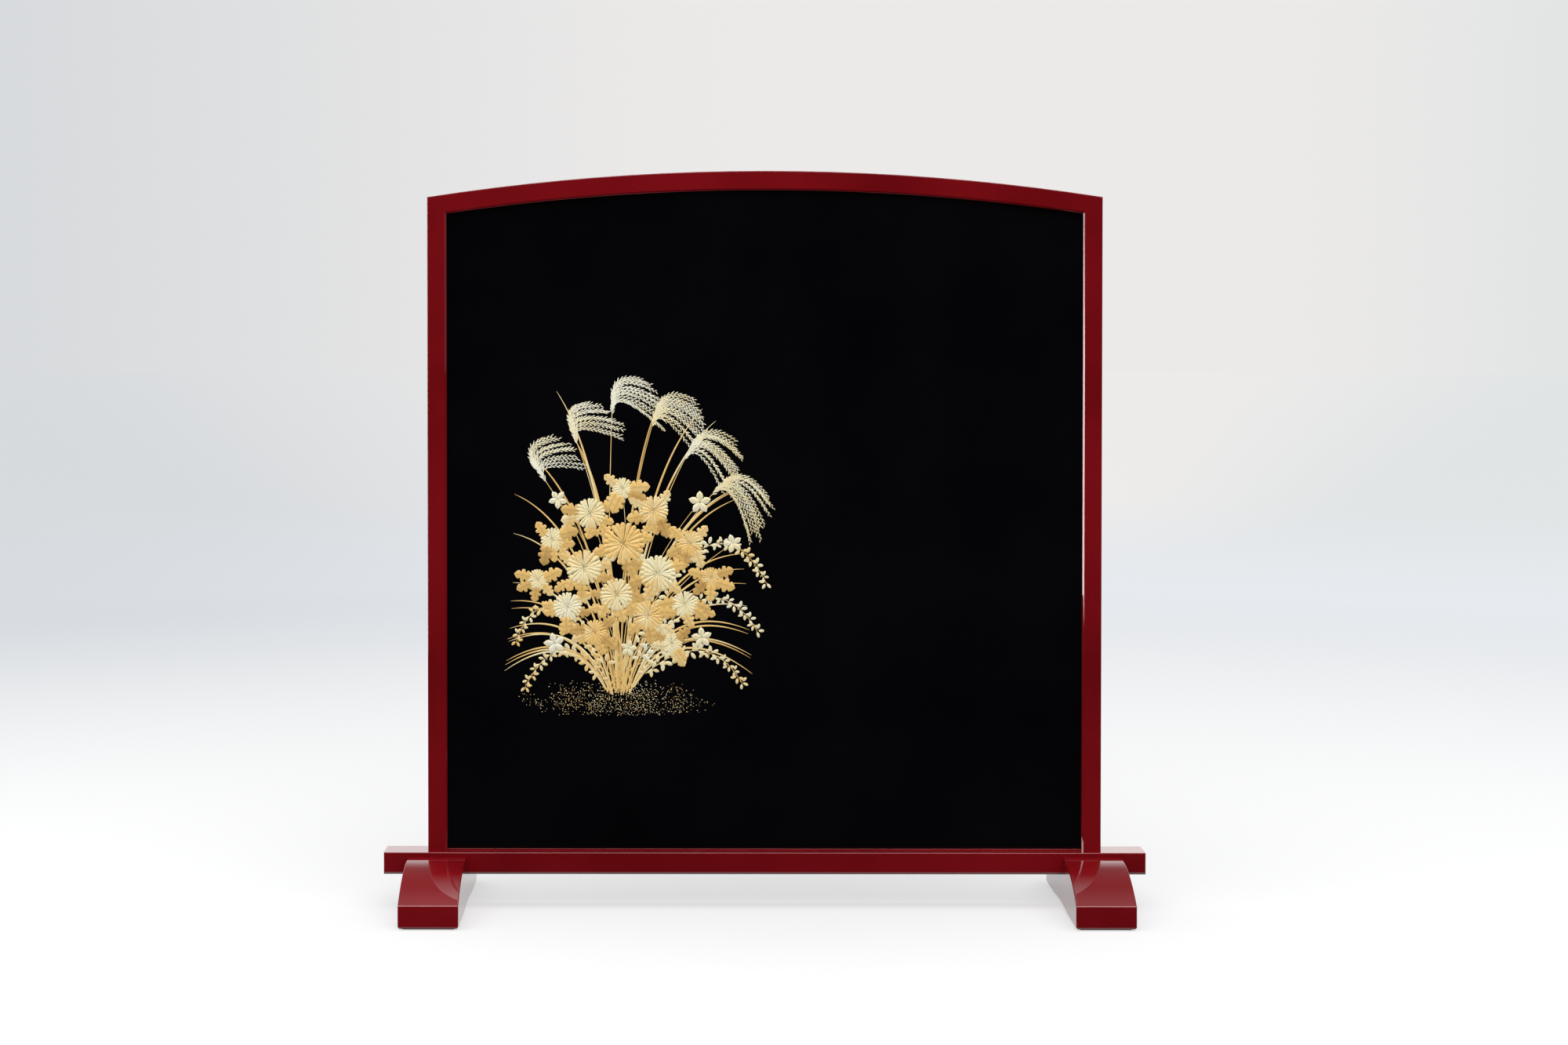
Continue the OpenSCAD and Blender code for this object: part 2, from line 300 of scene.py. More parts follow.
@dataclass(frozen=True)
class GoldDust:
    """Gold and silver dust on raised lacquer, burnished, with dark lines left round each form."""

    pale: Colour = srgb(255, 240, 190)
    rich: Colour = srgb(250, 206, 124)
    silver: Colour = srgb(252, 248, 226)
    thin: Colour = srgb(186, 140, 72)
    line: Colour = srgb(28, 18, 10)
    drift_scale: float = 14.0
    drift: float = 0.22
    dust_scale: float = 2600.0
    dust_depth: float = 0.05 * MM
    worn_span: Span = (0.62, 0.8)
    worn_share: float = 0.45
    rim_span: Span = (0.35, 0.85)
    metallic: float = 0.12
    roughness: Span = (0.36, 0.52)
    ior: float = 1.5

    def material(self) -> bpy.types.Material:
        """Build the gold.

        The attribute tone runs from silver (0) over pale (0.5) and rich gold (1) to thinly dusted gold (2).
        The attribute rim marks the edges.

        Returns:
            The finished material.
        """
        paint = Paint("gold_dust_relief")
        tone = paint.add("ShaderNodeAttribute", attribute_name="tone").outputs["Fac"]
        rim = paint.add("ShaderNodeAttribute", attribute_name="rim").outputs["Fac"]
        clouds = paint.noise(paint.place, self.drift_scale, detail=3.0)
        shade = paint.math("ADD", tone, paint.ramp(clouds, *MOST_NOISE, -self.drift, self.drift))
        light = paint.blend(paint.ramp(shade, 0.0, 0.5), self.silver, self.pale)
        strong = paint.blend(paint.ramp(shade, 0.5, 1.0), light, self.rich)
        gold = paint.blend(paint.ramp(shade, 1.0, 2.0), strong, self.thin)
        dust = paint.noise(paint.place, self.dust_scale)
        worn = paint.blend(paint.ramp(dust, *self.worn_span, 0.0, self.worn_share), gold, self.line)
        return paint.finish(
            Base_Color=paint.blend(paint.ramp(rim, *self.rim_span), worn, self.line),
            Metallic=paint.ramp(rim, *self.rim_span, self.metallic, 0.0),
            Roughness=paint.ramp(dust, *MOST_NOISE, *self.roughness),
            IOR=self.ior,
            Normal=paint.bump(dust, self.dust_depth),
        )


class Grain(Enum):
    """Which way the grain of a piece runs, as the scale of its pattern along X, Y and Z."""

    SIDEWAYS = (0.06, 1.0, 1.0)
    FORWARDS = (1.0, 0.06, 1.0)
    UPWARDS = (1.0, 1.0, 0.06)


@dataclass(frozen=True)
class BareWood:
    """Planed hardwood without lacquer, on tenons, keys, pegs and inside the joints."""

    early: Colour = srgb(214, 184, 138)
    late: Colour = srgb(176, 136, 88)
    ring_scale: float = 55.0
    pore_scale: float = 420.0
    pore_depth: float = 0.08 * MM
    pore_span: Span = (0.6, 0.8)
    pore_share: float = 0.35
    ring_span: Span = (0.35, 0.65)
    roughness: Span = (0.55, 0.7)
    ior: float = 1.45

    def material(self, grain: Grain) -> bpy.types.Material:
        """Build the wood: rings and fine pores that run along the grain.

        Args:
            grain: Which way the grain runs.

        Returns:
            The finished material.
        """
        paint = Paint(f"bare_wood_grain_{grain.name.lower()}")
        along = paint.stretched(grain.value)
        rings = paint.noise(along, self.ring_scale, detail=3.0, roughness=0.6)
        pores = paint.noise(along, self.pore_scale)
        colour = paint.blend(paint.ramp(rings, *self.ring_span), self.early, self.late)
        dark = paint.blend(paint.ramp(pores, *self.pore_span, 0.0, self.pore_share), colour, self.late)
        roughness = paint.ramp(pores, *ALL_NOISE, *self.roughness)
        normal = paint.bump(pores, self.pore_depth)
        return paint.finish(Base_Color=dark, Roughness=roughness, IOR=self.ior, Normal=normal)


@dataclass(frozen=True)
class WoolFelt:
    """Dense dark wool felt."""

    dark: Colour = srgb(30, 26, 24)
    light: Colour = srgb(62, 55, 50)
    clump_scale: float = 260.0
    fibre_scale: float = 1500.0
    fibre_stretch: Triple = (1.0, 0.35, 1.0)
    fibre_depth: float = 0.4 * MM
    tone_span: Span = (0.35, 0.65)
    roughness: float = 0.95
    ior: float = 1.4
    sheen: float = 0.35
    sheen_roughness: float = 0.5

    def material(self) -> bpy.types.Material:
        """Build the felt: clumped fibres with a soft sheen.

        Returns:
            The finished material.
        """
        paint = Paint("wool_felt")
        clumps = paint.noise(paint.place, self.clump_scale, detail=3.0)
        fibres = paint.noise(paint.stretched(self.fibre_stretch), self.fibre_scale, detail=3.0, roughness=0.7)
        mixed = paint.math("ADD", paint.math("MULTIPLY", clumps, 0.5), paint.math("MULTIPLY", fibres, 0.5))
        return paint.finish(
            Base_Color=paint.blend(paint.ramp(mixed, *self.tone_span), self.dark, self.light),
            Roughness=self.roughness, IOR=self.ior, Sheen_Weight=self.sheen,
            Sheen_Roughness=self.sheen_roughness, Normal=paint.bump(mixed, self.fibre_depth),
        )


@dataclass(frozen=True)
class Metal:
    """A plain metal with fine tool marks."""

    name: str
    bright: Colour
    dull: Colour
    mark_scale: float = 700.0
    mark_stretch: Triple = (1.0, 1.0, 6.0)
    mark_depth: float = 0.02 * MM
    tone_scale: float = 140.0
    roughness: Span = (0.25, 0.4)

    def material(self) -> bpy.types.Material:
        """Build the metal: marks that run round or across, and a slightly uneven tone.

        Returns:
            The finished material.
        """
        paint = Paint(self.name)
        marks = paint.noise(paint.stretched(self.mark_stretch), self.mark_scale)
        tone = paint.noise(paint.place, self.tone_scale)
        return paint.finish(
            Base_Color=paint.blend(paint.ramp(tone, *MOST_NOISE), self.bright, self.dull),
            Metallic=1.0,
            Roughness=paint.ramp(marks, *MOST_NOISE, *self.roughness),
            Normal=paint.bump(marks, self.mark_depth),
        )


class Finishes:
    """All materials of the piece, one for each slot."""

    def __init__(self) -> None:
        """Build each material once."""
        self.bare = {grain: BareWood().material(grain) for grain in Grain}
        self.by_slot: dict[Slot, bpy.types.Material] = {
            Slot.RED: RedLacquer().material(),
            Slot.BLACK: BlackLacquer().material(),
            Slot.GOLD: GoldDust().material(),
            Slot.WOOD: self.bare[Grain.UPWARDS],
            Slot.FELT: WoolFelt().material(),
            Slot.STEEL: Metal("zinc_plated_steel", srgb(190, 194, 198), srgb(150, 153, 158)).material(),
            Slot.BRASS: Metal("turned_brass", srgb(214, 178, 98), srgb(180, 142, 66)).material(),
        }

    def __getitem__(self, slot: Slot) -> bpy.types.Material:
        """Give the material of a slot."""
        return self.by_slot[slot]

    def dress_node(self, node: str, slot: Slot) -> None:
        """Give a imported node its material.

        Args:
            node: The node's name.
            slot: The slot that it belongs to.
        """
        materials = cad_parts[node].data.materials
        materials.clear()
        materials.append(self[slot])
        LOG.info("%s keeps its mesh, dressed in %s", node, slot.value)


def in_scene(name: str, mesh: bpy.types.Mesh) -> bpy.types.Object:
    """Put a mesh in the scene under a name, with its object at the origin.

    Args:
        name: The piece's name.
        mesh: Its mesh, in the frame's coordinates.

    Returns:
        The new object.
    """
    mesh.name = name
    piece = bpy.data.objects.new(name, mesh)
    bpy.context.scene.collection.objects.link(piece)
    return piece


def baked(source: bpy.types.Object, name: str) -> bpy.types.Object:
    """Turn an object with modifiers into a plain mesh object and remove the source.

    Args:
        source: The object whose modifiers are run.
        name: The name of the result.

    Returns:
        The plain object.
    """
    bpy.context.view_layer.update()
    depsgraph = bpy.context.evaluated_depsgraph_get()
    mesh = bpy.data.meshes.new_from_object(source.evaluated_get(depsgraph), depsgraph=depsgraph)
    source.modifiers.clear()
    bpy.data.objects.remove(source)
    return in_scene(name, mesh)


def report(piece: bpy.types.Object, body: str, replaced: Iterable[str] = ()) -> bpy.types.Object:
    """Make a finished piece ride on its body and what it stands for, and log it.

    Args:
        piece: The finished piece.
        body: The body that it moves with.
        replaced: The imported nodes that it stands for.

    Returns:
        The same piece.
    """
    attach(piece, body)
    if replaced:
        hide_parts(*replaced)
    LOG.info("%s rides on %s, %d faces", piece.name, body, len(piece.data.polygons))
    return piece


def none_of(face: bmesh.types.BMFace) -> bool:
    """Say of any face that it is not meant."""
    return False


@dataclass
class Softener:
    """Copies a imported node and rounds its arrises, as sanding and many coats of lacquer do."""

    finishes: Finishes
    arris: float
    steps: int = 3
    merge: float = 0.03 * MM
    least_edge: float = 2.0 * MM
    flat_angle: float = math.radians(0.15)
    edge_angle: float = math.radians(25)
    flat_weight: int = 100

    def is_sharp(self, edge: bmesh.types.BMEdge) -> bool:
        """Say whether two faces meet at a clear angle."""
        return len(edge.link_faces) == 2 and edge.calc_face_angle() > self.edge_angle

    def is_arris(self, edge: bmesh.types.BMEdge) -> bool:
        """Say whether a sharp edge stands out, is not short and has no tagged face beside it."""
        stands_out = edge.is_convex and edge.calc_length() > self.least_edge
        return stands_out and not any(face.tag for face in edge.link_faces)

    def marked(self, node: str, width: float, bare: FaceTest, crisp: FaceTest) -> bpy.types.Mesh:
        """Copy a node's mesh, with a weight on each arris and bare faces in the second material.

        Args:
            node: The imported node.
            width: The width of its arrises, 0 for none.
            bare: Says whether a face is bare wood.
            crisp: Says whether a lacquered face keeps its edges crisp.

        Returns:
            The marked copy, without materials.
        """
        mesh = bpy.data.meshes.new(node)
        work = bmesh.new()
        work.from_mesh(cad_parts[node].data)
        bmesh.ops.remove_doubles(work, verts=work.verts, dist=self.merge)
        bmesh.ops.dissolve_limit(work, angle_limit=self.flat_angle, verts=work.verts, edges=work.edges)
        for face in work.faces:
            face.smooth = True
            face.material_index = int(bare(face))
            face.tag = bare(face) or crisp(face)
        weight = work.edges.layers.float.new("bevel_weight_edge")
        for edge in work.edges:
            sharp = self.is_sharp(edge)
            edge[weight] = float(width > 0.0 and sharp and self.is_arris(edge))
            edge.smooth = bool(edge[weight]) or not sharp
        work.to_mesh(mesh)
        work.free()
        return mesh

    def piece(self, node: str, body: str, slot: Slot, ending: str, arris: float | None = None,
              bare: FaceTest = none_of, grain: Grain = Grain.UPWARDS,
              crisp: FaceTest = none_of) -> bpy.types.Object:
        """Build the softened stand-in for one node.

        Args:
            node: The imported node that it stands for.
            body: The body that it moves with.
            slot: Its main slot.
            ending: What its name ends in, after the node's name.
            arris: The width of its arrises, 0 for none beyond those of its mesh, or None for the usual one.
            bare: Says whether a face is bare wood, which also keeps its edges crisp.
            grain: Which way the bare wood's grain runs.
            crisp: Says whether a lacquered face keeps its edges crisp.

        Returns:
            The finished piece.
        """
        width = self.arris if arris is None else arris
        mesh = self.marked(node, width, bare, crisp)
        mesh.materials.append(self.finishes[slot])
        if bare is not none_of:
            mesh.materials.append(self.finishes.bare[grain])
        source = in_scene(node + "_source", mesh)
        if width > 0.0:
            bevel = source.modifiers.new("arrises", "BEVEL")
            bevel.width = width
            bevel.segments = self.steps
            bevel.limit_method = "WEIGHT"
            bevel.use_clamp_overlap = False
            bevel.miter_outer = "MITER_ARC"
        weights = source.modifiers.new("flats", "WEIGHTED_NORMAL")
        weights.weight = self.flat_weight
        weights.keep_sharp = True
        return report(baked(source, f"{node}_{ending}"), body, [node])


@dataclass
class Base:
    """The rail, the two feet, their pads and the hidden fasteners."""

    finishes: Finishes
    foot_arris: float = 2.0 * MM
    pad_arris: float = 0.5 * MM
    slack: float = 0.1 * MM
    joint_half_depth: float = 7.3 * MM
    least_fall: float = 0.5

    def in_joint(self, face: bmesh.types.BMFace) -> bool:
        """Say whether a face lies inside a mortise, a socket or the sill's groove."""
        return all(abs(corner.co.y) <= self.joint_half_depth + self.slack for corner in face.verts)

    def looks_down(self, face: bmesh.types.BMFace) -> bool:
        """Say whether a face is part of the underside or of the chamfer round it."""
        return face.normal.z < -self.least_fall

    def in_notch(self, face: bmesh.types.BMFace) -> bool:
        """Say whether a face of a foot lies in the notch under the rail, or inside a socket.

        Args:
            face: The face.

        Returns:
            Whether all its corners lie there.
        """
        low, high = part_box("base_rail")
        depth, level = high.y + self.slack, low.z - self.slack
        notched = all(abs(corner.co.y) <= depth and corner.co.z >= level for corner in face.verts)
        return notched or self.in_joint(face)

    def build(self) -> None:
        """Build the rail, the feet and the pads, and dress the fasteners."""
        soft = Softener(self.finishes, self.foot_arris)
        soft.piece("base_rail", "base", Slot.RED, "lacquered", arris=0.0, bare=self.in_joint,
                   grain=Grain.SIDEWAYS)
        for side in ("left", "right"):
            soft.piece(f"{side}_foot", "base", Slot.RED, "lacquered", bare=self.in_notch,
                       grain=Grain.FORWARDS, crisp=self.looks_down)
            for end in ("front", "rear"):
                soft.piece(f"{side}_{end}_pad", "base", Slot.FELT, "trimmed", arris=self.pad_arris)
        for node in ("foot_bolts", "bolt_washers"):
            self.finishes.dress_node(node, Slot.STEEL)
        self.finishes.dress_node("rail_inserts", Slot.BRASS)


@dataclass
class FramedPanel:
    """The stiles, the arched top rail, the sill and the board, with the hidden keys and pegs."""

    finishes: Finishes
    arris: float = 0.45 * MM
    sill_arris: float = 0.4 * MM
    slack: float = 0.1 * MM
    most_forward: float = 0.1
    least_slant: float = 0.3

    def in_mitre(self, face: bmesh.types.BMFace) -> bool:
        """Say whether a face lies in a mitre, the only faces that slant from side to side alone."""
        sideways, forward, upwards = (abs(share) for share in face.normal)
        return forward < self.most_forward and min(sideways, upwards) > self.least_slant

    def in_joint(self, face: bmesh.types.BMFace) -> bool:
        """Say whether a face of a stile is on its tenon, below the shoulder on the rail, or in its mitre."""
        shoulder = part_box("base_rail")[1].z + self.slack
        return all(corner.co.z <= shoulder for corner in face.verts) or self.in_mitre(face)

    def build(self) -> None:
        """Build the frame's members and dress the board, the keys and the pegs."""
        soft = Softener(self.finishes, self.arris)
        for side in ("left", "right"):
            soft.piece(f"{side}_stile", "framed_panel", Slot.RED, "lacquered", bare=self.in_joint)
            self.finishes.dress_node(f"{side}_corner_key", Slot.WOOD)
        soft.piece("top_rail", "framed_panel", Slot.RED, "lacquered", bare=self.in_mitre,
                   grain=Grain.SIDEWAYS)
        soft.piece("sill", "framed_panel", Slot.RED, "lacquered", arris=self.sill_arris)
        self.finishes.dress_node("panel_board", Slot.BLACK)
        self.finishes.dress_node("sill_pegs", Slot.WOOD)


class Growth(Wires):
    """A geometry node tree with named sizes, which ends in plain geometry with one material."""

    def __init__(self, name: str) -> None:
        """Start a tree with one geometry input and one geometry output.

        Args:
            name: The tree's name.
        """
        super().__init__(bpy.data.node_groups.new(name, "GeometryNodeTree"))
        for direction in ("INPUT", "OUTPUT"):
            self.tree.interface.new_socket("Geometry", in_out=direction, socket_type="NodeSocketGeometry")
        self.entry = self.add("NodeGroupInput")

    def size(self, name: str, value: Any, kind: str = "Float") -> Socket:
        """Add a named input.

        Args:
            name: The input's name.
            value: Its usual value, or None.
            kind: The socket's kind, such as Float or Int.

        Returns:
            The socket that gives the input inside the tree.
        """
        item = self.tree.interface.new_socket(name, in_out="INPUT", socket_type=f"NodeSocket{kind}")
        if value is not None:
            item.default_value = value
        return self.entry.outputs[name]

    def read(self, attribute: str) -> Socket:
        """Read a number that the geometry carries under a name."""
        named = self.add("GeometryNodeInputNamedAttribute", {"Name": attribute}, data_type="FLOAT")
        return named.outputs["Attribute"]

    def keep(self, geometry: Socket, attribute: str, value: Any, domain: str) -> Socket:
        """Store a number on the geometry under a name.

        Args:
            geometry: The geometry that carries it.
            attribute: Its name.
            value: The number or field.
            domain: What carries it, such as POINT or INSTANCE.

        Returns:
            The geometry with the number.
        """
        inputs = {"Geometry": geometry, "Name": attribute, "Value": value}
        stored = self.add("GeometryNodeStoreNamedAttribute", inputs, data_type="FLOAT", domain=domain)
        return stored.outputs[0]

    def chance(self, low: Any, high: Any, seed: Any, step: int = 0) -> Socket:
        """Give each element a random number between two limits. Each step of a seed is another draw."""
        inputs = {2: low, 3: high, "Seed": self.math("ADD", seed, float(step))}
        return self.add("FunctionNodeRandomValue", inputs, data_type="FLOAT").outputs[1]

    def vector(self, x: Any = 0.0, y: Any = 0.0, z: Any = 0.0) -> Socket:
        """Put three numbers together."""
        return self.add("ShaderNodeCombineXYZ", {0: x, 1: y, 2: z}).outputs[0]

    def shape(self, source: Any) -> Socket:
        """Give the geometry of an object that an input names."""
        info = self.add("GeometryNodeObjectInfo", {"Object": source}, transform_space="ORIGINAL")
        return info.outputs["Geometry"]

    def place_on(self, points: Socket, part: Any, turn: Any, scale: Any, tone: Any) -> Socket:
        """Put a part on each point, turned in the board's plane.

        Args:
            points: The points.
            part: The part's geometry, with its length along X.
            turn: The angle about Y.
            scale: The part's scale.
            tone: The tone that each copy carries.

        Returns:
            The copies, made real.
        """
        rotation = self.vector(0.0, turn, 0.0)
        if isinstance(scale, float):
            scale = (scale,) * 3
        inputs = {"Points": points, "Instance": part, "Rotation": rotation, "Scale": scale}
        copies = self.add("GeometryNodeInstanceOnPoints", inputs).outputs[0]
        toned = self.keep(copies, "tone", tone, "INSTANCE")
        return self.add("GeometryNodeRealizeInstances", {0: toned}).outputs[0]

    def close(self, geometry: Socket, material: bpy.types.Material) -> None:
        """End the tree in realised, smooth geometry with one material.

        Args:
            geometry: What the tree has made.
            material: The material that it gets.
        """
        real = self.add("GeometryNodeRealizeInstances", {0: geometry}).outputs[0]
        soft = self.add("GeometryNodeSetShadeSmooth", {"Geometry": real, "Shade Smooth": True}).outputs[0]
        done = self.add("GeometryNodeSetMaterial", {"Geometry": soft, "Material": material}).outputs[0]
        self.add("NodeGroupOutput", {0: done})

    def grow(self, source: bpy.types.Mesh, name: str, **sizes: Any) -> bpy.types.Object:
        """Run the tree on a mesh and return the result as a plain piece.

        Args:
            source: The points or lines that the tree starts from.
            name: The piece's name.
            sizes: The tree's named inputs, with underscores for spaces.

        Returns:
            The finished piece.
        """
        holder = in_scene(name + "_source", source)
        modifier = holder.modifiers.new(self.tree.name, "NODES")
        modifier.node_group = self.tree
        items = self.tree.interface.items_tree
        names = {item.name: item.identifier for item in items if item.in_out == "INPUT"}
        for key, value in sizes.items():
            modifier[names[key.replace("_", " ")]] = value
        return baked(holder, name)


def lines_mesh(name: str, lines: list[Line], widths: WidthRule, tones: ToneRule) -> bpy.types.Mesh:
    """Make a mesh of open lines whose points know how far along they are, how wide and in which tone.

    Args:
        name: The mesh's name.
        lines: The points of each line.
        widths: The half width of a line, by its number and the share of its length.
        tones: The tone of a line, by its number.

    Returns:
        The mesh, with edges only.
    """
    points, edges, along, width, tone = [], [], [], [], []
    for number, line in enumerate(lines):
        first = len(points)
        points.extend(line)
        edges.extend((first + step, first + step + 1) for step in range(len(line) - 1))
        shares = [step / (len(line) - 1) for step in range(len(line))]
        along.extend(shares)
        width.extend(widths(number, share) for share in shares)
        tone.extend(tones(number) for _ in shares)
    mesh = bpy.data.meshes.new(name)
    mesh.from_pydata(points, edges, [])
    for title, values in (("along", along), ("width", width), ("tone", tone)):
        mesh.attributes.new(title, "FLOAT", "POINT").data.foreach_set("value", values)
    return mesh


def bend(start: Vector, middle: Vector, end: Vector, count: int) -> Line:
    """Give the points along a curve from start to end that is pulled towards one point in the middle."""
    shares = [step / (count - 1) for step in range(count)]
    return [start * (1 - s) ** 2 + middle * (2 * s * (1 - s)) + end * s * s for s in shares]


@dataclass(frozen=True)
class Form:
    """A form in raised lacquer, such as a petal, in the board's plane with its length along X.

    The heights of its edge and its flanks are shares of its rise. It reaches into the board by its sink.
    """

    name: str
    outline: tuple[Point, ...]
    rise: float
    rib: float = 0.3
    rim: float = 0.16
    line: float = 1.0
    turns: tuple[float, ...] = (0.0,)
    stalk: float = 0.0
    sink: float = 0.03
    tip: float = 0.12
    edge_height: float = 0.35
    flank_height: float = 0.8

    def leaf(self, work: bmesh.types.BMesh, turn: float) -> None:
        """Build one leaf of the form: a low edge with a dark rim, and two flanks that rise to a rib.

        Args:
            work: The mesh under construction.
            turn: The leaf's angle in the board's plane.
        """
        marks = work.verts.layers.float.get("rim") or work.verts.layers.float.new("rim")
        cosine, sine = math.cos(turn), math.sin(turn)

        def corner(x: float, height: float, z: float, mark: float) -> bmesh.types.BMVert:
            """Add a corner, turned with its leaf and marked.

            Args:
                x: Its place along the leaf.
                height: Its height above the board.
                z: Its place across the leaf.
                mark: How far it belongs to the dark rim.

            Returns:
                The corner.
            """
            x += self.stalk
            vertex = work.verts.new((x * cosine + z * sine, -height, z * cosine - x * sine))
            vertex[marks] = mark
            return vertex

        last = len(self.outline) - 1
        around = list(self.outline) + [(x, -z) for x, z in self.outline[last - 1:0:-1]]
        near, far = self.outline[0][0] + self.tip, self.outline[-1][0] - self.tip
        inner = [(x + (min(max(x, near), far) - x) * self.rim, z * (1 - self.rim)) for x, z in around]
        foot = [corner(x, -self.sink, z, self.line) for x, z in around]
        edge = [corner(x, self.edge_height * self.rise, z, self.line) for x, z in around]
        flank = [corner(x, self.flank_height * self.rise, z, 0.0) for x, z in inner]
        for low, high in ((foot, edge), (edge, flank)):
            for step in range(len(around)):
                after = (step + 1) % len(around)
                work.faces.new((low[step], low[after], high[after], high[step]))
        rib = [flank[0]] + [corner(x, self.rise, 0.0, self.rib) for x, _ in inner[1:last]] + [flank[last]]
        for side in (1, -1):
            for step in range(last):
                ring = [flank[side * step], flank[side * (step + 1)], rib[step + 1], rib[step]]
                work.faces.new(list(dict.fromkeys(ring)))
        work.faces.new(foot[::-1])

    def build(self) -> bpy.types.Object:
        """Build the form with all its leaves.

        Returns:
            The form, which is removed once it has been copied.
        """
        work = bmesh.new()
        for turn in self.turns:
            self.leaf(work, turn)
        bmesh.ops.recalc_face_normals(work, faces=work.faces)
        mesh = bpy.data.meshes.new(self.name)
        work.to_mesh(mesh)
        work.free()
        return in_scene(self.name, mesh)


class Forms(Enum):
    """The forms that the relief repeats, one metre long before they are scaled."""

    SPIKELET = Form("spikelet_form", ((0.0, 0.0), (0.3, 0.1), (0.65, 0.09), (1.0, 0.0)), rise=0.08, rib=0.0)
    PETAL = Form("petal_form", (
        (0.0, 0.0), (0.08, 0.06), (0.5, 0.12), (0.84, 0.16), (0.96, 0.1), (1.0, 0.0),
    ), rise=0.05)
    STAR_PETAL = Form("star_petal_form", (
        (0.0, 0.0), (0.12, 0.16), (0.5, 0.33), (0.76, 0.24), (1.0, 0.0),
    ), rise=0.05, rib=0.5)
    TREFOIL = Form("trefoil_form", (
        (0.0, 0.0), (0.2, 0.19), (0.5, 0.27), (0.82, 0.2), (1.0, 0.0),
    ), rise=0.05, rib=0.5, turns=(-1.25, 0.0, 1.25), stalk=0.25)
    LOBED_LEAF = Form("lobed_leaf_form", (
        (0.0, 0.0), (0.05, 0.1), (0.14, 0.3), (0.26, 0.34), (0.34, 0.19), (0.44, 0.38), (0.58, 0.36),
        (0.62, 0.18), (0.74, 0.27), (0.86, 0.2), (0.93, 0.1), (1.0, 0.0),
    ), rise=0.03, rib=0.52)
    GRAIN = Form("grain_form", (
        (0.0, 0.0), (0.25, 0.36), (0.75, 0.36), (1.0, 0.0),
    ), rise=0.35, rib=0.0, rim=0.3, line=0.0)


@dataclass(frozen=True)
class Flower:
    """One chrysanthemum or bellflower: where its heart is on the board, how large it is, and its tone."""

    x: float
    z: float
    radius: float
    tone: float


@dataclass(frozen=True)
class Row:
    """How a form is set along a line: how close, how long at the line's start and end, and how it leans."""

    form: Forms
    spacing: float
    length: Span
    lean: float
    jitter: float


@dataclass(frozen=True)
class Ring:
    """A ring of petals: how many, where they start, how long they are and how high they lie, in radii."""

    count: int
    start: float
    length: float
    lift: float


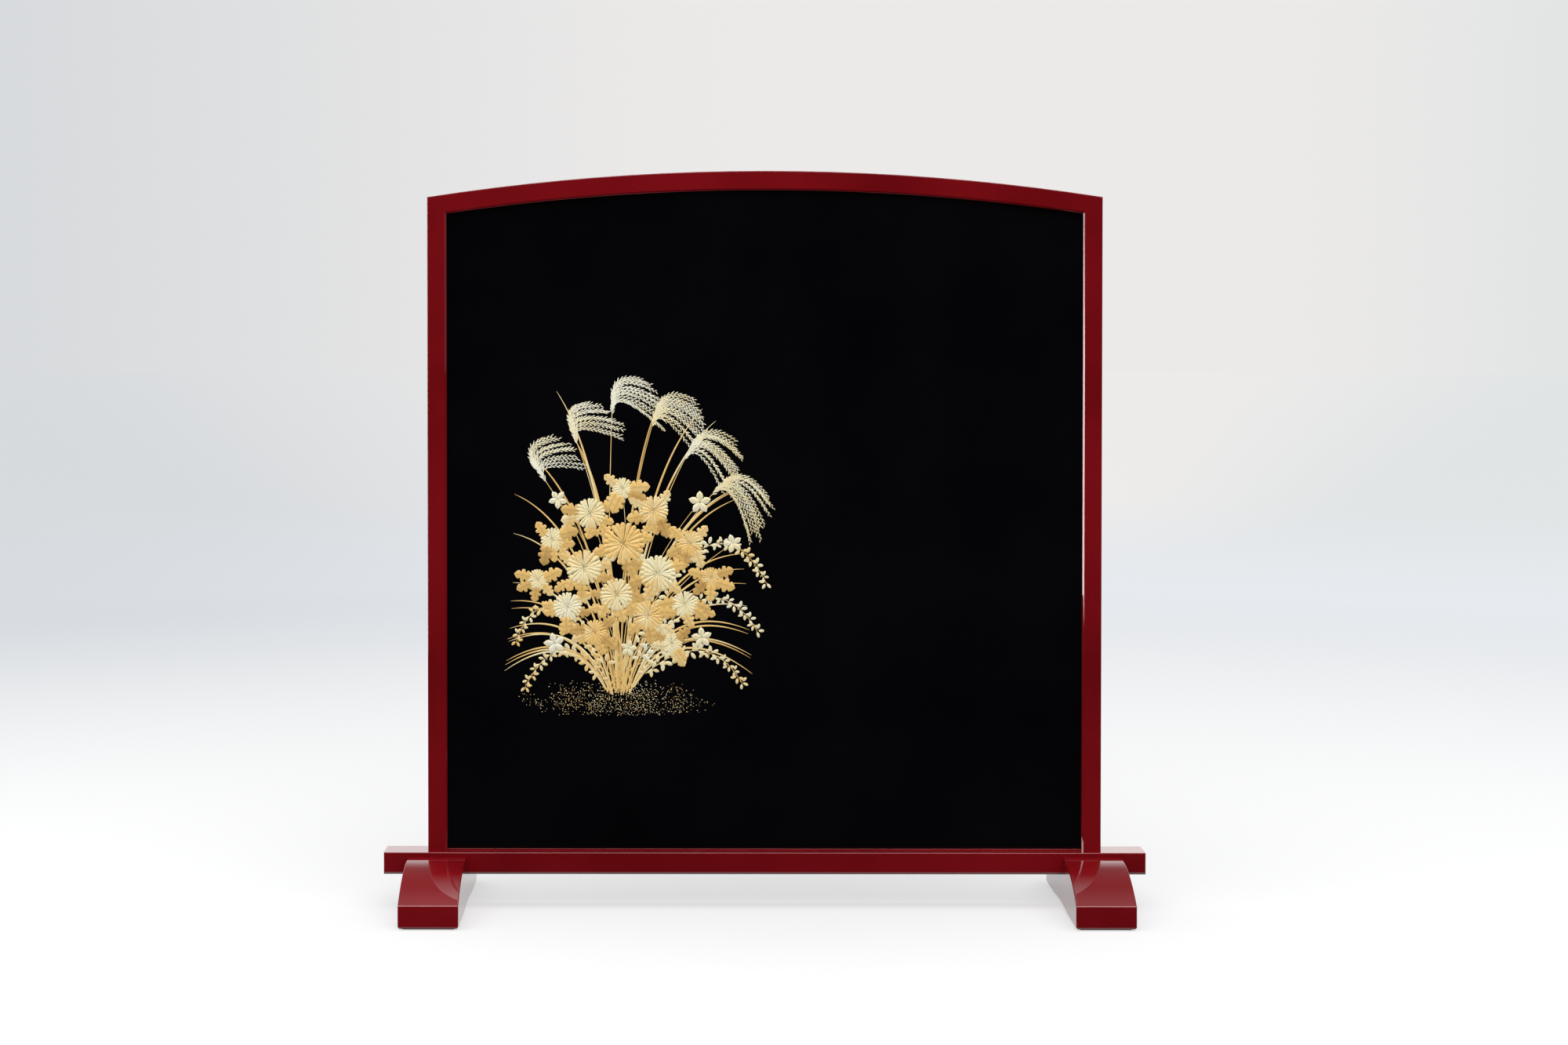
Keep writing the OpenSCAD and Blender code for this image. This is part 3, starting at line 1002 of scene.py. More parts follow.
@dataclass
class GoldRelief:
    """Autumn grasses in gold on the board: pampas, clover, chrysanthemums and bellflowers from one root.

    Sizes and places are those of the design before share_of_size scales it, and angles are in degrees.
    """

    finishes: Finishes
    body: str = "framed_panel"
    root: Point = (-0.222, 0.245)
    root_on_board: Point = (-0.231, 0.345)
    share_of_size: float = 0.80
    seed: int = 11
    line_points: int = 26
    flatness: float = 0.3
    sides: int = 8
    lift: float = 0.25 * MM
    stroke_rim: Span = (0.6, 1.0)
    blade_count: int = 30
    blade_fan: Span = (-66.0, 68.0)
    blade_sway: float = 5.0
    blade_length: float = 0.30
    blade_swell: float = 0.26
    blade_uneven: Span = (-0.08, 0.06)
    blade_spread: float = 0.06
    blade_foot: Span = (-0.008, 0.01)
    blade_foot_lean: float = 0.45
    blade_pull: float = 0.72
    blade_droop: Pair = (0.1, -0.26)
    blade_widths: Pair = (0.25, 2.2)
    left_reach: float = 0.200
    right_reach: float = 0.235
    centre_reach: float = 0.1
    stem_spread: float = 0.025
    stem_foot: Span = (-0.004, 0.01)
    stem_pull: Pair = (0.22, 0.62)
    stem_widths: Pair = (1.3, 1.0)
    plume_rays: int = 15
    plume_length: float = 0.034
    plume_fan: Span = (88.0, 42.0)
    ray_sway: float = 5.0
    ray_length: float = 0.070
    ray_swell: float = 0.034
    ray_uneven: float = 0.009
    ray_pull: float = 0.62
    ray_fall: float = -0.30
    ray_widths: Pair = (0.55, 0.25)
    ray_points: int = 14
    leaf_count: int = 5
    leaf_from: float = 160.0
    leaf_step: float = 55.0
    leaf_sway: float = 18.0
    leaf_near: float = 0.62
    leaf_far: Span = (0.95, 1.25)
    form_scale: Span = (0.82, 1.12)
    form_shade: float = 0.15
    petal_shade: float = 0.12
    petal_looseness: float = 0.05
    flower_turn: float = 3.0
    plumes: Row = Row(Forms.SPIKELET, spacing=0.0040, length=(0.0105, 0.008), lean=0.40, jitter=0.16)
    clover: Row = Row(Forms.TREFOIL, spacing=0.0135, length=(0.0155, 0.0115), lean=0.85, jitter=0.25)
    clover_buds: Row = Row(Forms.SPIKELET, spacing=0.0060, length=(0.0075, 0.0055), lean=0.5, jitter=0.5)
    leaves: Row = Row(Forms.LOBED_LEAF, spacing=0.016, length=(0.038, 0.030), lean=0.3, jitter=0.3)
    chrysanthemum_rings: tuple[Ring, ...] = (
        Ring(22, 0.26, 0.74, 0.0), Ring(16, 0.16, 0.62, 0.010), Ring(10, 0.06, 0.42, 0.018),
        Ring(6, 0.01, 0.2, 0.026),
    )
    bellflower_rings: tuple[Ring, ...] = (Ring(5, 0.03, 0.95, 0.0),)
    chrysanthemums: tuple[Flower, ...] = (
        Flower(-0.293, 0.492, 0.036, 0.75), Flower(-0.214, 0.540, 0.043, 0.95),
        Flower(-0.146, 0.480, 0.037, 0.6), Flower(-0.228, 0.438, 0.033, 0.55),
        Flower(-0.326, 0.414, 0.029, 0.45), Flower(-0.165, 0.396, 0.031, 0.9),
        Flower(-0.092, 0.418, 0.027, 0.4), Flower(-0.281, 0.600, 0.031, 0.5),
        Flower(-0.154, 0.606, 0.030, 0.7), Flower(-0.082, 0.540, 0.027, 0.85),
        Flower(-0.356, 0.548, 0.024, 0.65), Flower(-0.272, 0.362, 0.026, 0.8),
        Flower(-0.216, 0.650, 0.022, 0.6), Flower(-0.386, 0.468, 0.021, 0.5),
        Flower(-0.040, 0.472, 0.021, 0.7), Flower(-0.118, 0.340, 0.022, 0.55),
    )
    bellflowers: tuple[Flower, ...] = (
        Flower(-0.062, 0.622, 0.024, 0.3), Flower(0.004, 0.540, 0.020, 0.35),
        Flower(-0.352, 0.340, 0.023, 0.3), Flower(-0.058, 0.352, 0.022, 0.25),
        Flower(-0.345, 0.628, 0.020, 0.3), Flower(-0.204, 0.330, 0.018, 0.3),
    )
    plume_tips: tuple[Point, ...] = (
        (-0.388, 0.690), (-0.318, 0.770), (-0.236, 0.832), (-0.148, 0.806), (-0.076, 0.738), (-0.014, 0.662),
    )
    twigs: tuple[tuple[Point, Point, Point], ...] = (
        ((-0.18, 0.31), (-0.04, 0.52), (0.052, 0.366)),
        ((-0.19, 0.36), (-0.03, 0.66), (0.070, 0.462)),
        ((-0.17, 0.28), (-0.05, 0.38), (0.022, 0.262)),
        ((-0.25, 0.30), (-0.37, 0.50), (-0.428, 0.346)),
        ((-0.26, 0.27), (-0.34, 0.39), (-0.410, 0.254)),
    )
    ground: tuple[float, float, float, float] = (-0.435, 0.055, 0.196, 0.300)
    ground_levels: int = 6
    ground_heart: float = 0.3
    ground_edge: Span = (0.55, 1.35)
    ground_cloud_scale: float = 26.0
    ground_clouds: float = 1.3
    grain_gap: float = 0.0021
    grain_density: float = 120000.0
    grain_length: Span = (0.0009, 0.0021)
    grain_tone: Span = (0.3, 1.0)
    grain_turn: float = 6.28

    def on_board(self, x: float, z: float, lift: float = 0.0) -> Vector:
        """Give the point of the board's front at a place, raised by a little."""
        return Vector((x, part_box("panel_board")[0].y - lift, z))

    def stroke(self, name: str, lines: list[Line], widths: WidthRule, tones: ToneRule) -> bpy.types.Object:
        """Draw raised, tapered lines.

        Args:
            name: The piece's name.
            lines: The points of each line.
            widths: The half width of a line, by its number and the share of its length.
            tones: The tone of a line, by its number.

        Returns:
            The piece.
        """
        tree = Growth("raised_strokes")
        flatness = tree.size("Flatness", self.flatness)
        sides = tree.size("Sides", self.sides, "Int")
        curve = tree.add("GeometryNodeMeshToCurve", {"Mesh": tree.entry.outputs["Geometry"]}).outputs[0]
        inputs = {"Curve": curve, "Normal": (0.0, -1.0, 0.0)}
        facing = tree.add("GeometryNodeSetCurveNormal", inputs, mode="FREE").outputs[0]
        inputs = {"Resolution": sides, "Radius": 1.0}
        section = tree.add("GeometryNodeCurvePrimitiveCircle", inputs).outputs[0]
        inputs = {"Geometry": section, "Scale": tree.vector(flatness, 1.0, 1.0)}
        flat = tree.add("GeometryNodeTransform", inputs).outputs[0]
        place = tree.add("GeometryNodeInputPosition").outputs[0]
        edge = tree.math("ABSOLUTE", tree.add("ShaderNodeSeparateXYZ", {0: place}).outputs[1])
        marked = tree.keep(flat, "rim", tree.ramp(edge, *self.stroke_rim, smooth=False), "POINT")
        inputs = {"Curve": facing, "Profile Curve": marked, "Scale": tree.read("width"), "Fill Caps": True}
        tree.close(tree.add("GeometryNodeCurveToMesh", inputs).outputs[0], self.finishes[Slot.GOLD])
        source = lines_mesh(name, lines, widths, tones)
        return tree.grow(source, name, Flatness=self.flatness, Sides=self.sides)

    def along(self, name: str, lines: list[Line], row: Row, tones: ToneRule, seed: int) -> bpy.types.Object:
        """Set a form on both sides of lines, in turn.

        Args:
            name: The piece's name.
            lines: The points of each line.
            row: The form and how it is set.
            tones: The tone of a line, by its number.
            seed: The seed of what varies.

        Returns:
            The piece.
        """
        tree = Growth("forms_along_lines")
        part_input = tree.size("Part", None, "Object")
        gap = tree.size("Spacing", row.spacing)
        first, last = tree.size("First Length", row.length[0]), tree.size("Last Length", row.length[1])
        angle, loose = tree.size("Lean", row.lean), tree.size("Jitter", row.jitter)
        seed_input = tree.size("Seed", seed, "Int")
        curve = tree.add("GeometryNodeMeshToCurve", {"Mesh": tree.entry.outputs["Geometry"]}).outputs[0]
        dotted = tree.add("GeometryNodeCurveToPoints", {"Curve": curve, "Length": gap}, mode="LENGTH")
        tangent = tree.add("ShaderNodeSeparateXYZ", {0: dotted.outputs["Tangent"]}).outputs
        heading = tree.math("ARCTAN2", tree.math("MULTIPLY", tangent[2], -1.0), tangent[0])
        index = tree.add("GeometryNodeInputIndex").outputs[0]
        side = tree.math("SUBTRACT", tree.math("MULTIPLY", tree.math("MODULO", index, 2.0), 2.0), 1.0)
        varied = tree.math("ADD", angle, tree.chance(tree.math("MULTIPLY", loose, -1.0), loose, seed_input))
        turn = tree.math("ADD", heading, tree.math("MULTIPLY", side, varied))
        grown = tree.add("ShaderNodeMapRange", {0: tree.read("along"), 3: first, 4: last}).outputs[0]
        scale = tree.math("MULTIPLY", grown, tree.chance(*self.form_scale, seed_input, 1))
        shade = tree.chance(-self.form_shade, self.form_shade, seed_input, 2)
        lift = tree.chance(-self.lift, 0.0, seed_input, 3)
        inputs = {"Geometry": dotted.outputs["Points"], "Offset": tree.vector(0.0, lift, 0.0)}
        lifted = tree.add("GeometryNodeSetPosition", inputs).outputs[0]
        tone = tree.math("ADD", tree.read("tone"), shade)
        tree.close(tree.place_on(lifted, tree.shape(part_input), turn, scale, tone), self.finishes[Slot.GOLD])
        form = row.form.value.build()
        source = lines_mesh(name, lines, lambda *_: 1.0, tones)
        piece = tree.grow(
            source, name, Part=form, Spacing=row.spacing, First_Length=row.length[0],
            Last_Length=row.length[1], Lean=row.lean, Jitter=row.jitter, Seed=seed,
        )
        bpy.data.objects.remove(form)
        return piece

    def ring_of(self, tree: Growth, petal: Socket, ring: Ring, number: int, looseness: Socket,
                seed: Socket) -> Socket:
        """Set one ring of a flower's petals.

        Args:
            tree: The tree that the flower is made in.
            petal: The petal's geometry.
            ring: The ring's sizes.
            number: The ring's number, from the outside.
            looseness: How much the petals' angles vary.
            seed: The seed of what varies.

        Returns:
            The petals.
        """
        spots = tree.add("GeometryNodeMeshLine", {"Count": ring.count}).outputs[0]
        index = tree.add("GeometryNodeInputIndex").outputs[0]
        even = tree.math("MULTIPLY", tree.math("ADD", index, 0.5 * (number % 2)), 2 * math.pi / ring.count)
        least = tree.math("MULTIPLY", looseness, -1.0)
        turn = tree.math("ADD", even, tree.chance(least, looseness, seed, number))
        x = tree.math("MULTIPLY", tree.math("COSINE", turn), ring.start)
        z = tree.math("MULTIPLY", tree.math("SINE", turn), -ring.start)
        inputs = {"Geometry": spots, "Position": tree.vector(x, -ring.lift, z)}
        placed = tree.add("GeometryNodeSetPosition", inputs).outputs[0]
        shade = tree.chance(-self.petal_shade, self.petal_shade, seed, 10 + number)
        return tree.place_on(placed, petal, turn, ring.length, shade)

    def rosettes(self, name: str, flowers: tuple[Flower, ...], part: Forms, rings: tuple[Ring, ...],
                 seed: int) -> bpy.types.Object:
        """Set flowers made of rings of one petal.

        Args:
            name: The piece's name.
            flowers: The flowers.
            part: The petal.
            rings: The rings, from the outside.
            seed: The seed of what varies.

        Returns:
            The piece.
        """
        tree = Growth("flowers_of_petals")
        part_input = tree.size("Petal", None, "Object")
        looseness = tree.size("Looseness", self.petal_looseness)
        seed_input = tree.size("Seed", seed, "Int")
        petal = tree.shape(part_input)
        flower = tree.add("GeometryNodeJoinGeometry")
        for number, ring in enumerate(rings):
            petals = self.ring_of(tree, petal, ring, number, looseness, seed_input)
            tree.tree.links.new(petals, flower.inputs[0])
        rotation = tree.vector(0.0, tree.chance(-self.flower_turn, self.flower_turn, seed_input), 0.0)
        set_out = tree.add("GeometryNodeInstanceOnPoints", {
            "Points": tree.entry.outputs["Geometry"], "Instance": flower.outputs[0], "Rotation": rotation,
            "Scale": tree.read("radius"),
        }).outputs[0]
        named = tree.keep(set_out, "flower_tone", tree.read("flower_tone"), "INSTANCE")
        real = tree.add("GeometryNodeRealizeInstances", {0: named}).outputs[0]
        tone = tree.math("ADD", tree.read("tone"), tree.read("flower_tone"))
        tree.close(tree.keep(real, "tone", tone, "POINT"), self.finishes[Slot.GOLD])
        form = part.value.build()
        heads = self.flower_points(name, flowers)
        piece = tree.grow(heads, name, Petal=form, Looseness=self.petal_looseness, Seed=seed)
        bpy.data.objects.remove(form)
        return piece

    def flower_points(self, name: str, flowers: tuple[Flower, ...]) -> bpy.types.Mesh:
        """Make a mesh of one point for each flower, which knows its radius and tone.

        Args:
            name: The mesh's name.
            flowers: The flowers.

        Returns:
            The mesh, with points only.
        """
        mesh = bpy.data.meshes.new(name)
        mesh.from_pydata([self.on_board(flower.x, flower.z, self.lift) for flower in flowers], [], [])
        radii, tones = [flower.radius for flower in flowers], [flower.tone for flower in flowers]
        for title, values in (("radius", radii), ("flower_tone", tones)):
            mesh.attributes.new(title, "FLOAT", "POINT").data.foreach_set("value", values)
        return mesh

    def blades(self) -> list[Line]:
        """Lay out the pampas blades: a fan from the root whose tips droop outwards.

        Returns:
            The lines.
        """
        dice = random.Random(self.seed)
        left, right = self.blade_fan
        outwards, down = self.blade_droop
        lines = []
        for number in range(self.blade_count):
            share = number / (self.blade_count - 1)
            sway = dice.uniform(-self.blade_sway, self.blade_sway)
            angle = math.radians(left + (right - left) * share + sway)
            aside = abs(math.sin(angle))
            reach = self.left_reach if angle < 0 else self.right_reach
            swell = self.blade_swell * math.sin(math.pi * share)
            full = self.blade_length + swell + dice.uniform(*self.blade_uneven)
            length = min(full, reach / (aside + self.centre_reach))
            across, up = self.blade_spread * (share - 0.5), dice.uniform(*self.blade_foot)
            start = self.on_board(self.root[0] + across, self.root[1] + up)
            lean = angle * self.blade_foot_lean
            first = Vector((math.sin(lean), 0.0, math.cos(lean)))
            out = Vector((math.sin(angle), 0.0, math.cos(angle)))
            droop = Vector((math.copysign(outwards, angle) * length, 0.0, down * length * aside))
            middle, end = start + first * (self.blade_pull * length), start + out * length + droop
            lines.append(bend(start, middle, end, self.line_points))
        return lines

    def stems(self, ends: Iterable[Point], seed: int) -> list[Line]:
        """Lay out stems that all rise from near the root.

        Args:
            ends: Where the stems end.
            seed: The seed of what varies.

        Returns:
            The lines.
        """
        dice = random.Random(seed)
        across, up = self.stem_pull
        lines = []
        for x, z in ends:
            aside = dice.uniform(-self.stem_spread, self.stem_spread)
            start = self.on_board(self.root[0] + aside, self.root[1] + dice.uniform(*self.stem_foot))
            end = self.on_board(x, z)
            middle = Vector((start.x + across * (end.x - start.x), start.y, start.z + up * (end.z - start.z)))
            lines.append(bend(start, middle, end, self.line_points))
        return lines

    def rays(self, stems: list[Line]) -> list[Line]:
        """Lay out the rays of the plumes, which leave the ends of the stems and nod to the right.

        Args:
            stems: The stems that carry the plumes.

        Returns:
            The lines.
        """
        dice = random.Random(self.seed + 2)
        widest, narrowest = self.plume_fan
        lines = []
        for stem in stems:
            tip, along = stem[-1], (stem[-1] - stem[-2]).normalized()
            heading = math.atan2(along.x, along.z)
            for ray in range(self.plume_rays):
                share = ray / (self.plume_rays - 1)
                swell = self.ray_swell * math.sin(math.pi * (0.25 + 0.6 * share))
                length = self.ray_length + swell + dice.uniform(-self.ray_uneven, self.ray_uneven)
                start = tip - along * (self.plume_length * (1 - share))
                sway = dice.uniform(-self.ray_sway, self.ray_sway)
                angle = heading + math.radians(widest + (narrowest - widest) * share + sway)
                out = Vector((math.sin(angle), 0.0, math.cos(angle)))
                fall = Vector((0.0, 0.0, self.ray_fall * length))
                middle, end = start + along * (self.ray_pull * length), start + out * length + fall
                lines.append(bend(start, middle, end, self.ray_points))
        return lines

    def leaf_lines(self) -> list[Line]:
        """Lay out short lines round each chrysanthemum on which its leaves sit.

        Returns:
            The lines.
        """
        dice = random.Random(self.seed + 3)
        lines = []
        for flower in self.chrysanthemums:
            heart = self.on_board(flower.x, flower.z)
            for number in range(self.leaf_count):
                sway = dice.uniform(-self.leaf_sway, self.leaf_sway)
                angle = math.radians(self.leaf_from + self.leaf_step * number + sway)
                out = Vector((math.cos(angle), 0.0, math.sin(angle)))
                near, far = self.leaf_near * flower.radius, flower.radius * dice.uniform(*self.leaf_far)
                lines.append([heart + out * near, heart + out * (0.5 * (near + far)), heart + out * far])
        return lines

    def dust(self, name: str) -> bpy.types.Object:
        """Sprinkle grains of gold on the ground round the root, dense in the middle and thin at the ends.

        Args:
            name: The piece's name.

        Returns:
            The piece.
        """
        tree = Growth("sprinkled_grains")
        grain_input = tree.size("Grain", None, "Object")
        closest, most = tree.size("Closest", self.grain_gap), tree.size("Most", self.grain_density)
        seed_input = tree.size("Seed", self.seed + 9, "Int")
        place = tree.add("GeometryNodeInputPosition").outputs[0]
        x, _, z = tree.add("ShaderNodeSeparateXYZ", {0: place}).outputs
        left, right, low, high = self.ground
        across = tree.math("DIVIDE", tree.math("SUBTRACT", x, self.root[0]), 0.5 * (right - left))
        heart = low + self.ground_heart * (high - low)
        up = tree.math("DIVIDE", tree.math("SUBTRACT", z, heart), 0.5 * (high - low))
        spread = tree.math("ADD", tree.math("MULTIPLY", across, across), tree.math("MULTIPLY", up, up))
        noise = tree.noise(place, self.ground_cloud_scale, detail=3.0)
        clouds = tree.math("MULTIPLY", noise, self.ground_clouds)
        share = tree.ramp(tree.math("ADD", spread, clouds), *self.ground_edge, 1.0, 0.0)
        inputs = {"Mesh": tree.entry.outputs["Geometry"], "Level": self.ground_levels}
        fine = tree.add("GeometryNodeSubdivideMesh", inputs).outputs[0]
        spots = tree.add("GeometryNodeDistributePointsOnFaces", {
            "Mesh": fine, "Distance Min": closest, "Density Max": most,
            "Density Factor": share, "Seed": seed_input,
        }, distribute_method="POISSON").outputs["Points"]
        turn = tree.chance(0.0, self.grain_turn, seed_input)
        scale = tree.chance(*self.grain_length, seed_input, 1)
        tone = tree.chance(*self.grain_tone, seed_input, 2)
        tree.close(tree.place_on(spots, tree.shape(grain_input), turn, scale, tone), self.finishes[Slot.GOLD])
        mesh = bpy.data.meshes.new(name)
        corners = [self.on_board(x, z) for x, z in ((left, low), (right, low), (right, high), (left, high))]
        mesh.from_pydata(corners, [], [(0, 1, 2, 3)])
        form = Forms.GRAIN.value.build()
        piece = tree.grow(mesh, name, Grain=form, Closest=self.grain_gap, Most=self.grain_density,
                          Seed=self.seed + 9)
        bpy.data.objects.remove(form)
        return piece

    def build(self) -> None:
        """Draw the whole design, from the ground and the lines at the back to the flowers in front."""
        twigs = [bend(*(self.on_board(x, z) for x, z in twig), self.line_points) for twig in self.twigs]
        plume_stems = self.stems(self.plume_tips, self.seed + 1)
        hearts = [(flower.x, flower.z) for flower in self.chrysanthemums + self.bellflowers]
        stems = plume_stems + self.stems(hearts, self.seed + 12) + twigs
        rays = self.rays(plume_stems)
        buds = [twig[self.line_points // 2:] for twig in twigs]

        def blade_width(_: int, share: float) -> float:
            """Give a blade's half width: narrow at the root, full below the middle, thin at the tip."""
            least, swell = self.blade_widths
            return (least + swell * math.sin(math.pi * min(1.0, 0.12 + 0.88 * share)) ** 0.8) * MM

        def stem_width(number: int, share: float) -> float:
            """Give a stem's half width, with the plume stems stoutest."""
            return self.stem_widths[number >= len(plume_stems)] * (1 - 0.5 * share) * MM

        def ray_width(_: int, share: float) -> float:
            """Give the half width of a plume's ray, which narrows to its tip."""
            widest, lost = self.ray_widths
            return (widest - lost * share) * MM

        pieces = [
            self.dust("gold_ground_dust"),
            self.stroke("gold_pampas_blades", self.blades(), blade_width,
                        lambda number: 0.7 + 0.2 * (number % 4)),
            self.stroke("gold_stems", stems, stem_width, lambda _: 0.9),
            self.stroke("gold_plume_rays", rays, ray_width, lambda _: 0.3),
            self.along("gold_plumes", rays, self.plumes,
                       lambda number: 0.1 + 0.06 * (number // self.plume_rays), self.seed + 4),
            self.along("gold_bush_clover", twigs, self.clover, lambda number: 0.4 + 0.12 * number,
                       self.seed + 5),
            self.along("gold_clover_buds", buds, self.clover_buds, lambda _: 0.95, self.seed + 10),
            self.along("gold_flower_leaves", self.leaf_lines(), self.leaves,
                       lambda number: 0.85 + 0.2 * (number % 4), self.seed + 6),
            self.rosettes("gold_chrysanthemums", self.chrysanthemums, Forms.PETAL,
                          self.chrysanthemum_rings, self.seed + 7),
            self.rosettes("gold_bellflowers", self.bellflowers, Forms.STAR_PETAL,
                          self.bellflower_rings, self.seed + 8),
        ]
        heart, place = self.on_board(*self.root), self.on_board(*self.root_on_board)
        fitted = Matrix.Translation(place) @ Matrix.Scale(self.share_of_size, 4) @ Matrix.Translation(-heart)
        for piece in pieces:
            piece.data.transform(fitted)
            report(piece, self.body)


@dataclass(frozen=True)
class Lamp:
    """A soft rectangular lamp that the camera does not see, with its power in watts."""

    name: str
    place: Triple
    aim: Triple
    size: Pair
    power: float
    in_mirrors: bool = False

    def hang(self) -> None:
        """Hang the lamp. It either lights everything but shows in no mirror, or shows in mirrors alone."""
        light = bpy.data.lights.new(self.name, "AREA")
        light.shape = "RECTANGLE"
        light.size, light.size_y = self.size
        light.energy = self.power
        lamp = bpy.data.objects.new(self.name, light)
        lamp.location = self.place
        lamp.rotation_mode = "QUATERNION"
        lamp.rotation_quaternion = (Vector(self.aim) - Vector(self.place)).to_track_quat("-Z", "Y")
        lamp.visible_camera = False
        lamp.visible_glossy = self.in_mirrors
        lamp.visible_diffuse = not self.in_mirrors
        bpy.context.scene.collection.objects.link(lamp)


@dataclass(frozen=True)
class Change:
    """A change of the light in mirrors, between two angles in degrees: 0 is behind, 90 is overhead."""

    start: float
    end: float
    before: float
    after: float


@dataclass
class Studio:
    """A pale floor, a light backdrop, soft lamps and the camera. None of it belongs to the screen."""

    camera_place: Triple = (-0.1132, -4.2, 0.9442)
    camera_pitch: float = -0.0201
    camera_turn: float = 0.0040
    sensor: float = 36.0
    lens: float = 60.477
    shift: Pair = (0.0645, -0.098)
    floor_radius: float = 40.0
    floor_corners: int = 96
    floor_albedo: float = 0.36
    even_light: float = 0.58
    # Painted light on the floor: a glow that the eye and mirrors see, rising with distance, over colours that
    # fall from white to darker, cooler tones far away and at the left.
    near_glow: float = 0.53
    far_glow: float = 0.855
    glow_span: Span = (0.2, 5.0)
    white_span: Span = (1.0, 5.0)
    far_span: Span = (5.0, 10.0)
    floor_sides: Span = (-0.5, 0.1)
    floor_white: Colour = srgb(255, 255, 255)
    floor_left: Colour = srgb(212, 216, 221)
    floor_right: Colour = srgb(227, 230, 234)
    wall_left: Colour = srgb(214, 217, 220)
    wall_right: Colour = srgb(236, 234, 233)
    wall_edge: Colour = srgb(224, 227, 228)
    wall_left_span: Span = (-0.32, 0.05)
    wall_edge_span: Span = (0.2, 0.36)
    front_dark: float = 0.012
    dark_from: Pair = (-0.176, -0.036)
    dark_blur: float = 0.008
    middle_reach: float = 0.43
    middle_blur: float = 0.01
    mirror_reach: Span = (0.35, 0.6)
    mirror_sides: float = 0.35
    side_span: Span = (0.6, 0.85)
    mirror_changes: tuple[Change, ...] = (
        Change(18.0, 39.0, 1.8, 0.25), Change(60.0, 92.0, 0.25, 1.1), Change(94.0, 104.0, 1.1, 9.0),
        Change(116.0, 136.0, 9.0, 0.0),
    )
    lamps: tuple[Lamp, ...] = (
        Lamp("overhead_softbox", (0.0, -1.4, 3.2), (0.0, -1.4, 0.0), (6.0, 4.6), 160.0),
        Lamp("front_fill", (0.5, -3.8, 3.0), (0.1, 0.0, 0.5), (3.4, 1.4), 34.0),
        Lamp("left_strip", (-2.4, -0.6, 1.35), (0.0, 0.0, 1.0), (0.5, 1.5), 6.0),
        Lamp("edge_strip", (-1.0, -0.235, 0.99), (0.506, -0.012, 0.99), (0.14, 1.3), 7.0, in_mirrors=True),
    )

    def build(self) -> None:
        """Build the floor, the surroundings, the lamps and the camera."""
        self.floor()
        self.surroundings()
        for lamp in self.lamps:
            lamp.hang()
        self.camera()

    def backdrop(self, wires: Wires, across: Socket) -> Socket:
        """Give the backdrop's colour in a direction: cooler at the left and dimmer at the far right."""
        lit = wires.blend(wires.ramp(across, *self.wall_left_span), self.wall_left, self.wall_right)
        return wires.blend(wires.ramp(across, *self.wall_edge_span), lit, self.wall_edge)

    def hidden_floor(self, paint: Paint, x: Socket, y: Socket) -> Socket:
        """Give the share of the floor in front that mirrors see as dark.

        Args:
            paint: The floor's material.
            x: The place from side to side.
            y: The place from front to back.

        Returns:
            The socket that holds the share.
        """
        path = paint.add("ShaderNodeLightPath").outputs
        beside, between = (paint.ramp(y, start - self.dark_blur, start, 1.0, 0.0) for start in self.dark_from)
        middle = self.middle_reach
        inside = paint.ramp(paint.math("ABSOLUTE", x), middle - self.middle_blur, middle, 1.0, 0.0)
        close = paint.math("MAXIMUM", beside, paint.math("MULTIPLY", between, inside))
        distant = paint.ramp(path["Ray Length"], *self.mirror_reach)
        ahead = paint.math("MAXIMUM", close, paint.math("MULTIPLY", between, distant))
        return paint.math("MULTIPLY", path["Is Glossy Ray"], ahead)

    def floor(self) -> None:
        """Build the floor: white near the screen, cooler and darker far away and at the left as a painted
        fall-off of light, with a painted glow to the eye and to mirrors, and dark to mirrors in front of it.
        """
        work = bmesh.new()
        bmesh.ops.create_circle(work, cap_ends=True, segments=self.floor_corners, radius=self.floor_radius)
        mesh = bpy.data.meshes.new("floor")
        work.to_mesh(mesh)
        work.free()
        paint = Paint("studio_floor")
        x, y, _ = paint.add("ShaderNodeSeparateXYZ", {0: paint.place}).outputs
        squares = paint.math("ADD", paint.math("MULTIPLY", x, x), paint.math("MULTIPLY", y, y))
        distance = paint.math("SQRT", squares)
        across = paint.math("DIVIDE", x, distance)
        far = paint.blend(paint.ramp(across, *self.floor_sides), self.floor_left, self.floor_right)
        middle = paint.blend(paint.ramp(distance, *self.white_span), self.floor_white, far)
        colour = paint.blend(paint.ramp(distance, *self.far_span), middle, self.backdrop(paint, across))
        level = paint.ramp(distance, *self.glow_span, self.near_glow, self.far_glow, smooth=False)
        _, _, shown = paint.sight()
        hidden = self.hidden_floor(paint, x, y)
        albedo = (self.floor_albedo,) * 3 + (1.0,)
        tinted = paint.blend(1.0, colour, albedo, "MULTIPLY")
        lit = paint.add("ShaderNodeBsdfDiffuse", {"Color": tinted}).outputs[0]
        strength = paint.math("MULTIPLY", level, shown)
        glow = paint.add("ShaderNodeEmission", {"Color": colour, "Strength": strength}).outputs[0]
        both = paint.add("ShaderNodeAddShader", {0: lit, 1: glow}).outputs[0]
        dark = paint.add("ShaderNodeEmission", {"Color": (1.0,) * 4, "Strength": self.front_dark}).outputs[0]
        mixed = paint.add("ShaderNodeMixShader", {0: hidden, 1: both, 2: dark}).outputs[0]
        paint.add("ShaderNodeOutputMaterial", {"Surface": mixed})
        mesh.materials.append(paint.material)
        in_scene("floor", mesh)

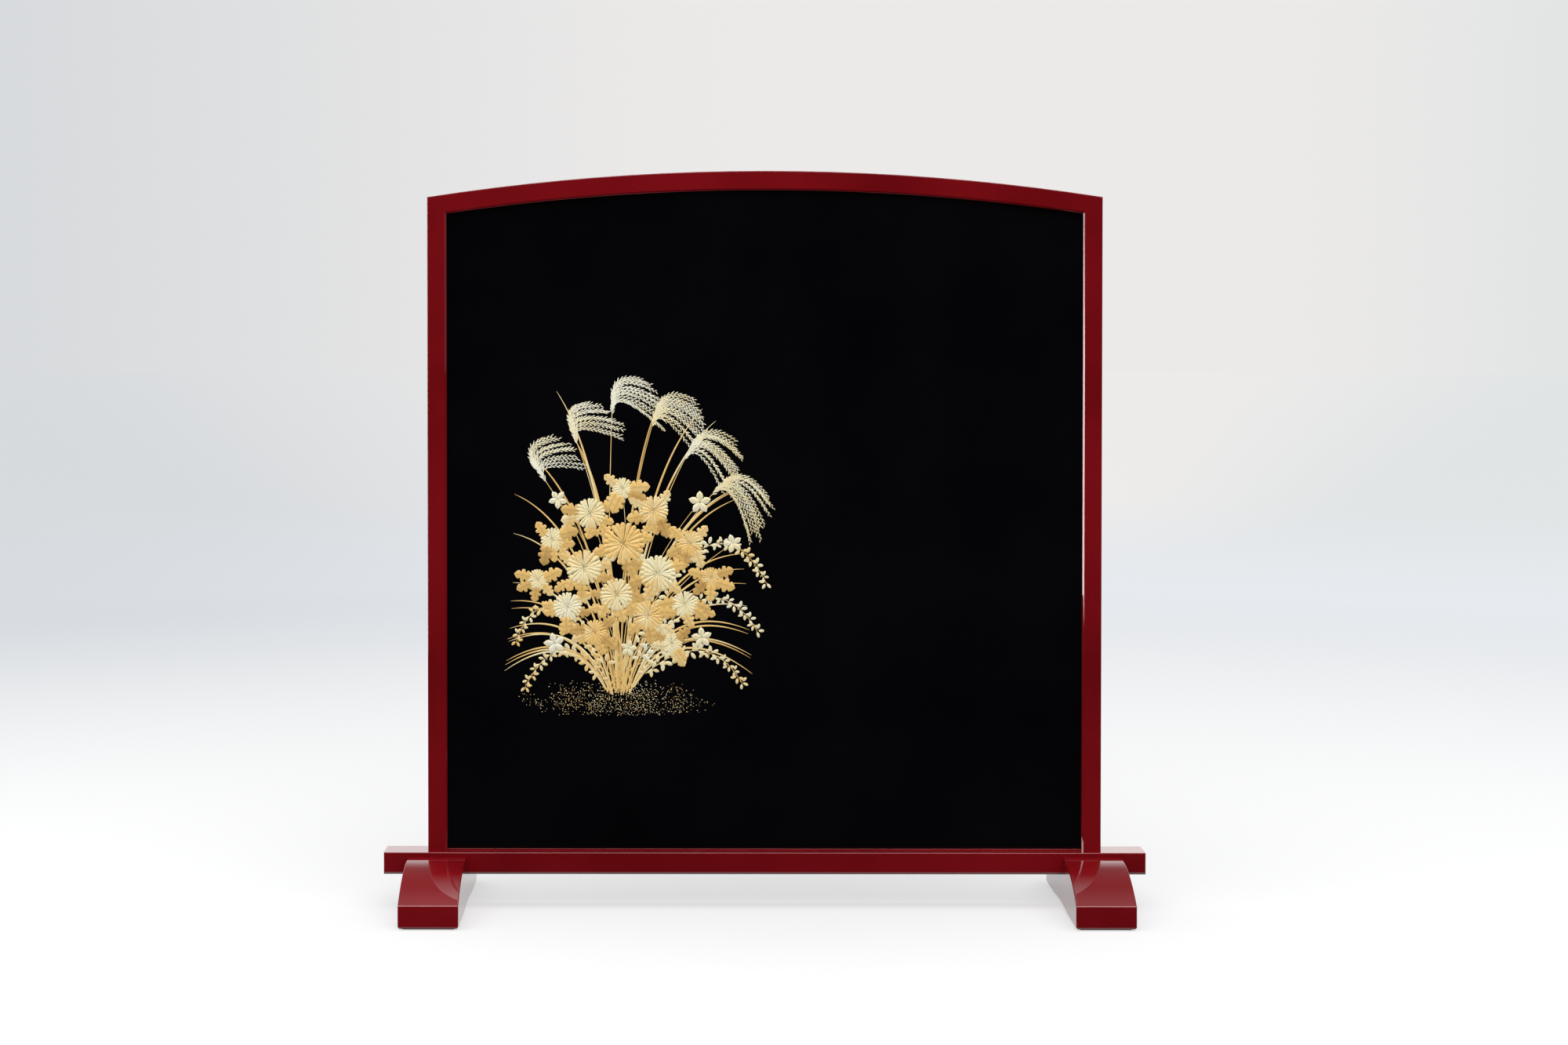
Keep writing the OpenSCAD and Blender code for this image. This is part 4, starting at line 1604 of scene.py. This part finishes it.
    def surroundings(self) -> None:
        """Build the world: a pale backdrop to the eye, bands of light and dark to mirrors, even otherwise."""
        world = bpy.data.worlds.new("studio")
        world.use_nodes = True
        bpy.context.scene.world = world
        wires = Wires(world.node_tree)
        wires.tree.nodes.clear()
        direction = wires.add("ShaderNodeTexCoord").outputs["Generated"]
        x, y, z = wires.add("ShaderNodeSeparateXYZ", {0: direction}).outputs
        direct, mirrored, shown = wires.sight()
        turn = wires.math("ARCTAN2", wires.math("MAXIMUM", z, 0.0), y)
        level = self.front_dark
        for change in self.mirror_changes:
            start, end = math.radians(change.start), math.radians(change.end)
            step = wires.ramp(turn, start, end, 0.0, change.after - change.before)
            level = wires.math("ADD", level, step)
        ahead = wires.math("ADD", level, self.mirror_changes[0].before)
        sideways = wires.ramp(wires.math("ABSOLUTE", x), *self.side_span)
        mirror_level = wires.add("ShaderNodeMix", {0: sideways, 2: ahead, 3: self.mirror_sides}).outputs[0]
        strength = wires.math("ADD", direct, wires.math("MULTIPLY", mirrored, mirror_level))
        even = wires.math("MULTIPLY", wires.math("SUBTRACT", 1.0, shown), self.even_light)
        background = wires.add("ShaderNodeBackground", {
            "Color": self.backdrop(wires, x), "Strength": wires.math("ADD", strength, even),
        }).outputs[0]
        wires.add("ShaderNodeOutputWorld", {"Surface": background})

    def camera(self) -> None:
        """Place the camera as in the photograph."""
        data = bpy.data.cameras.new("camera")
        data.sensor_width = self.sensor
        data.lens = self.lens
        data.shift_x, data.shift_y = self.shift
        camera = bpy.data.objects.new("camera", data)
        camera.location = self.camera_place
        camera.rotation_euler = (math.pi / 2 + self.camera_pitch, 0.0, self.camera_turn)
        bpy.context.scene.collection.objects.link(camera)
        bpy.context.scene.camera = camera
        bpy.context.scene.view_settings.view_transform = "Standard"


def main() -> None:
    """Build the screen and its studio, in order."""
    logging.basicConfig(level=logging.INFO, format="%(message)s")
    finishes = Finishes()
    Base(finishes).build()
    FramedPanel(finishes).build()
    GoldRelief(finishes).build()
    Studio().build()


if __name__ == "__main__":
    main()
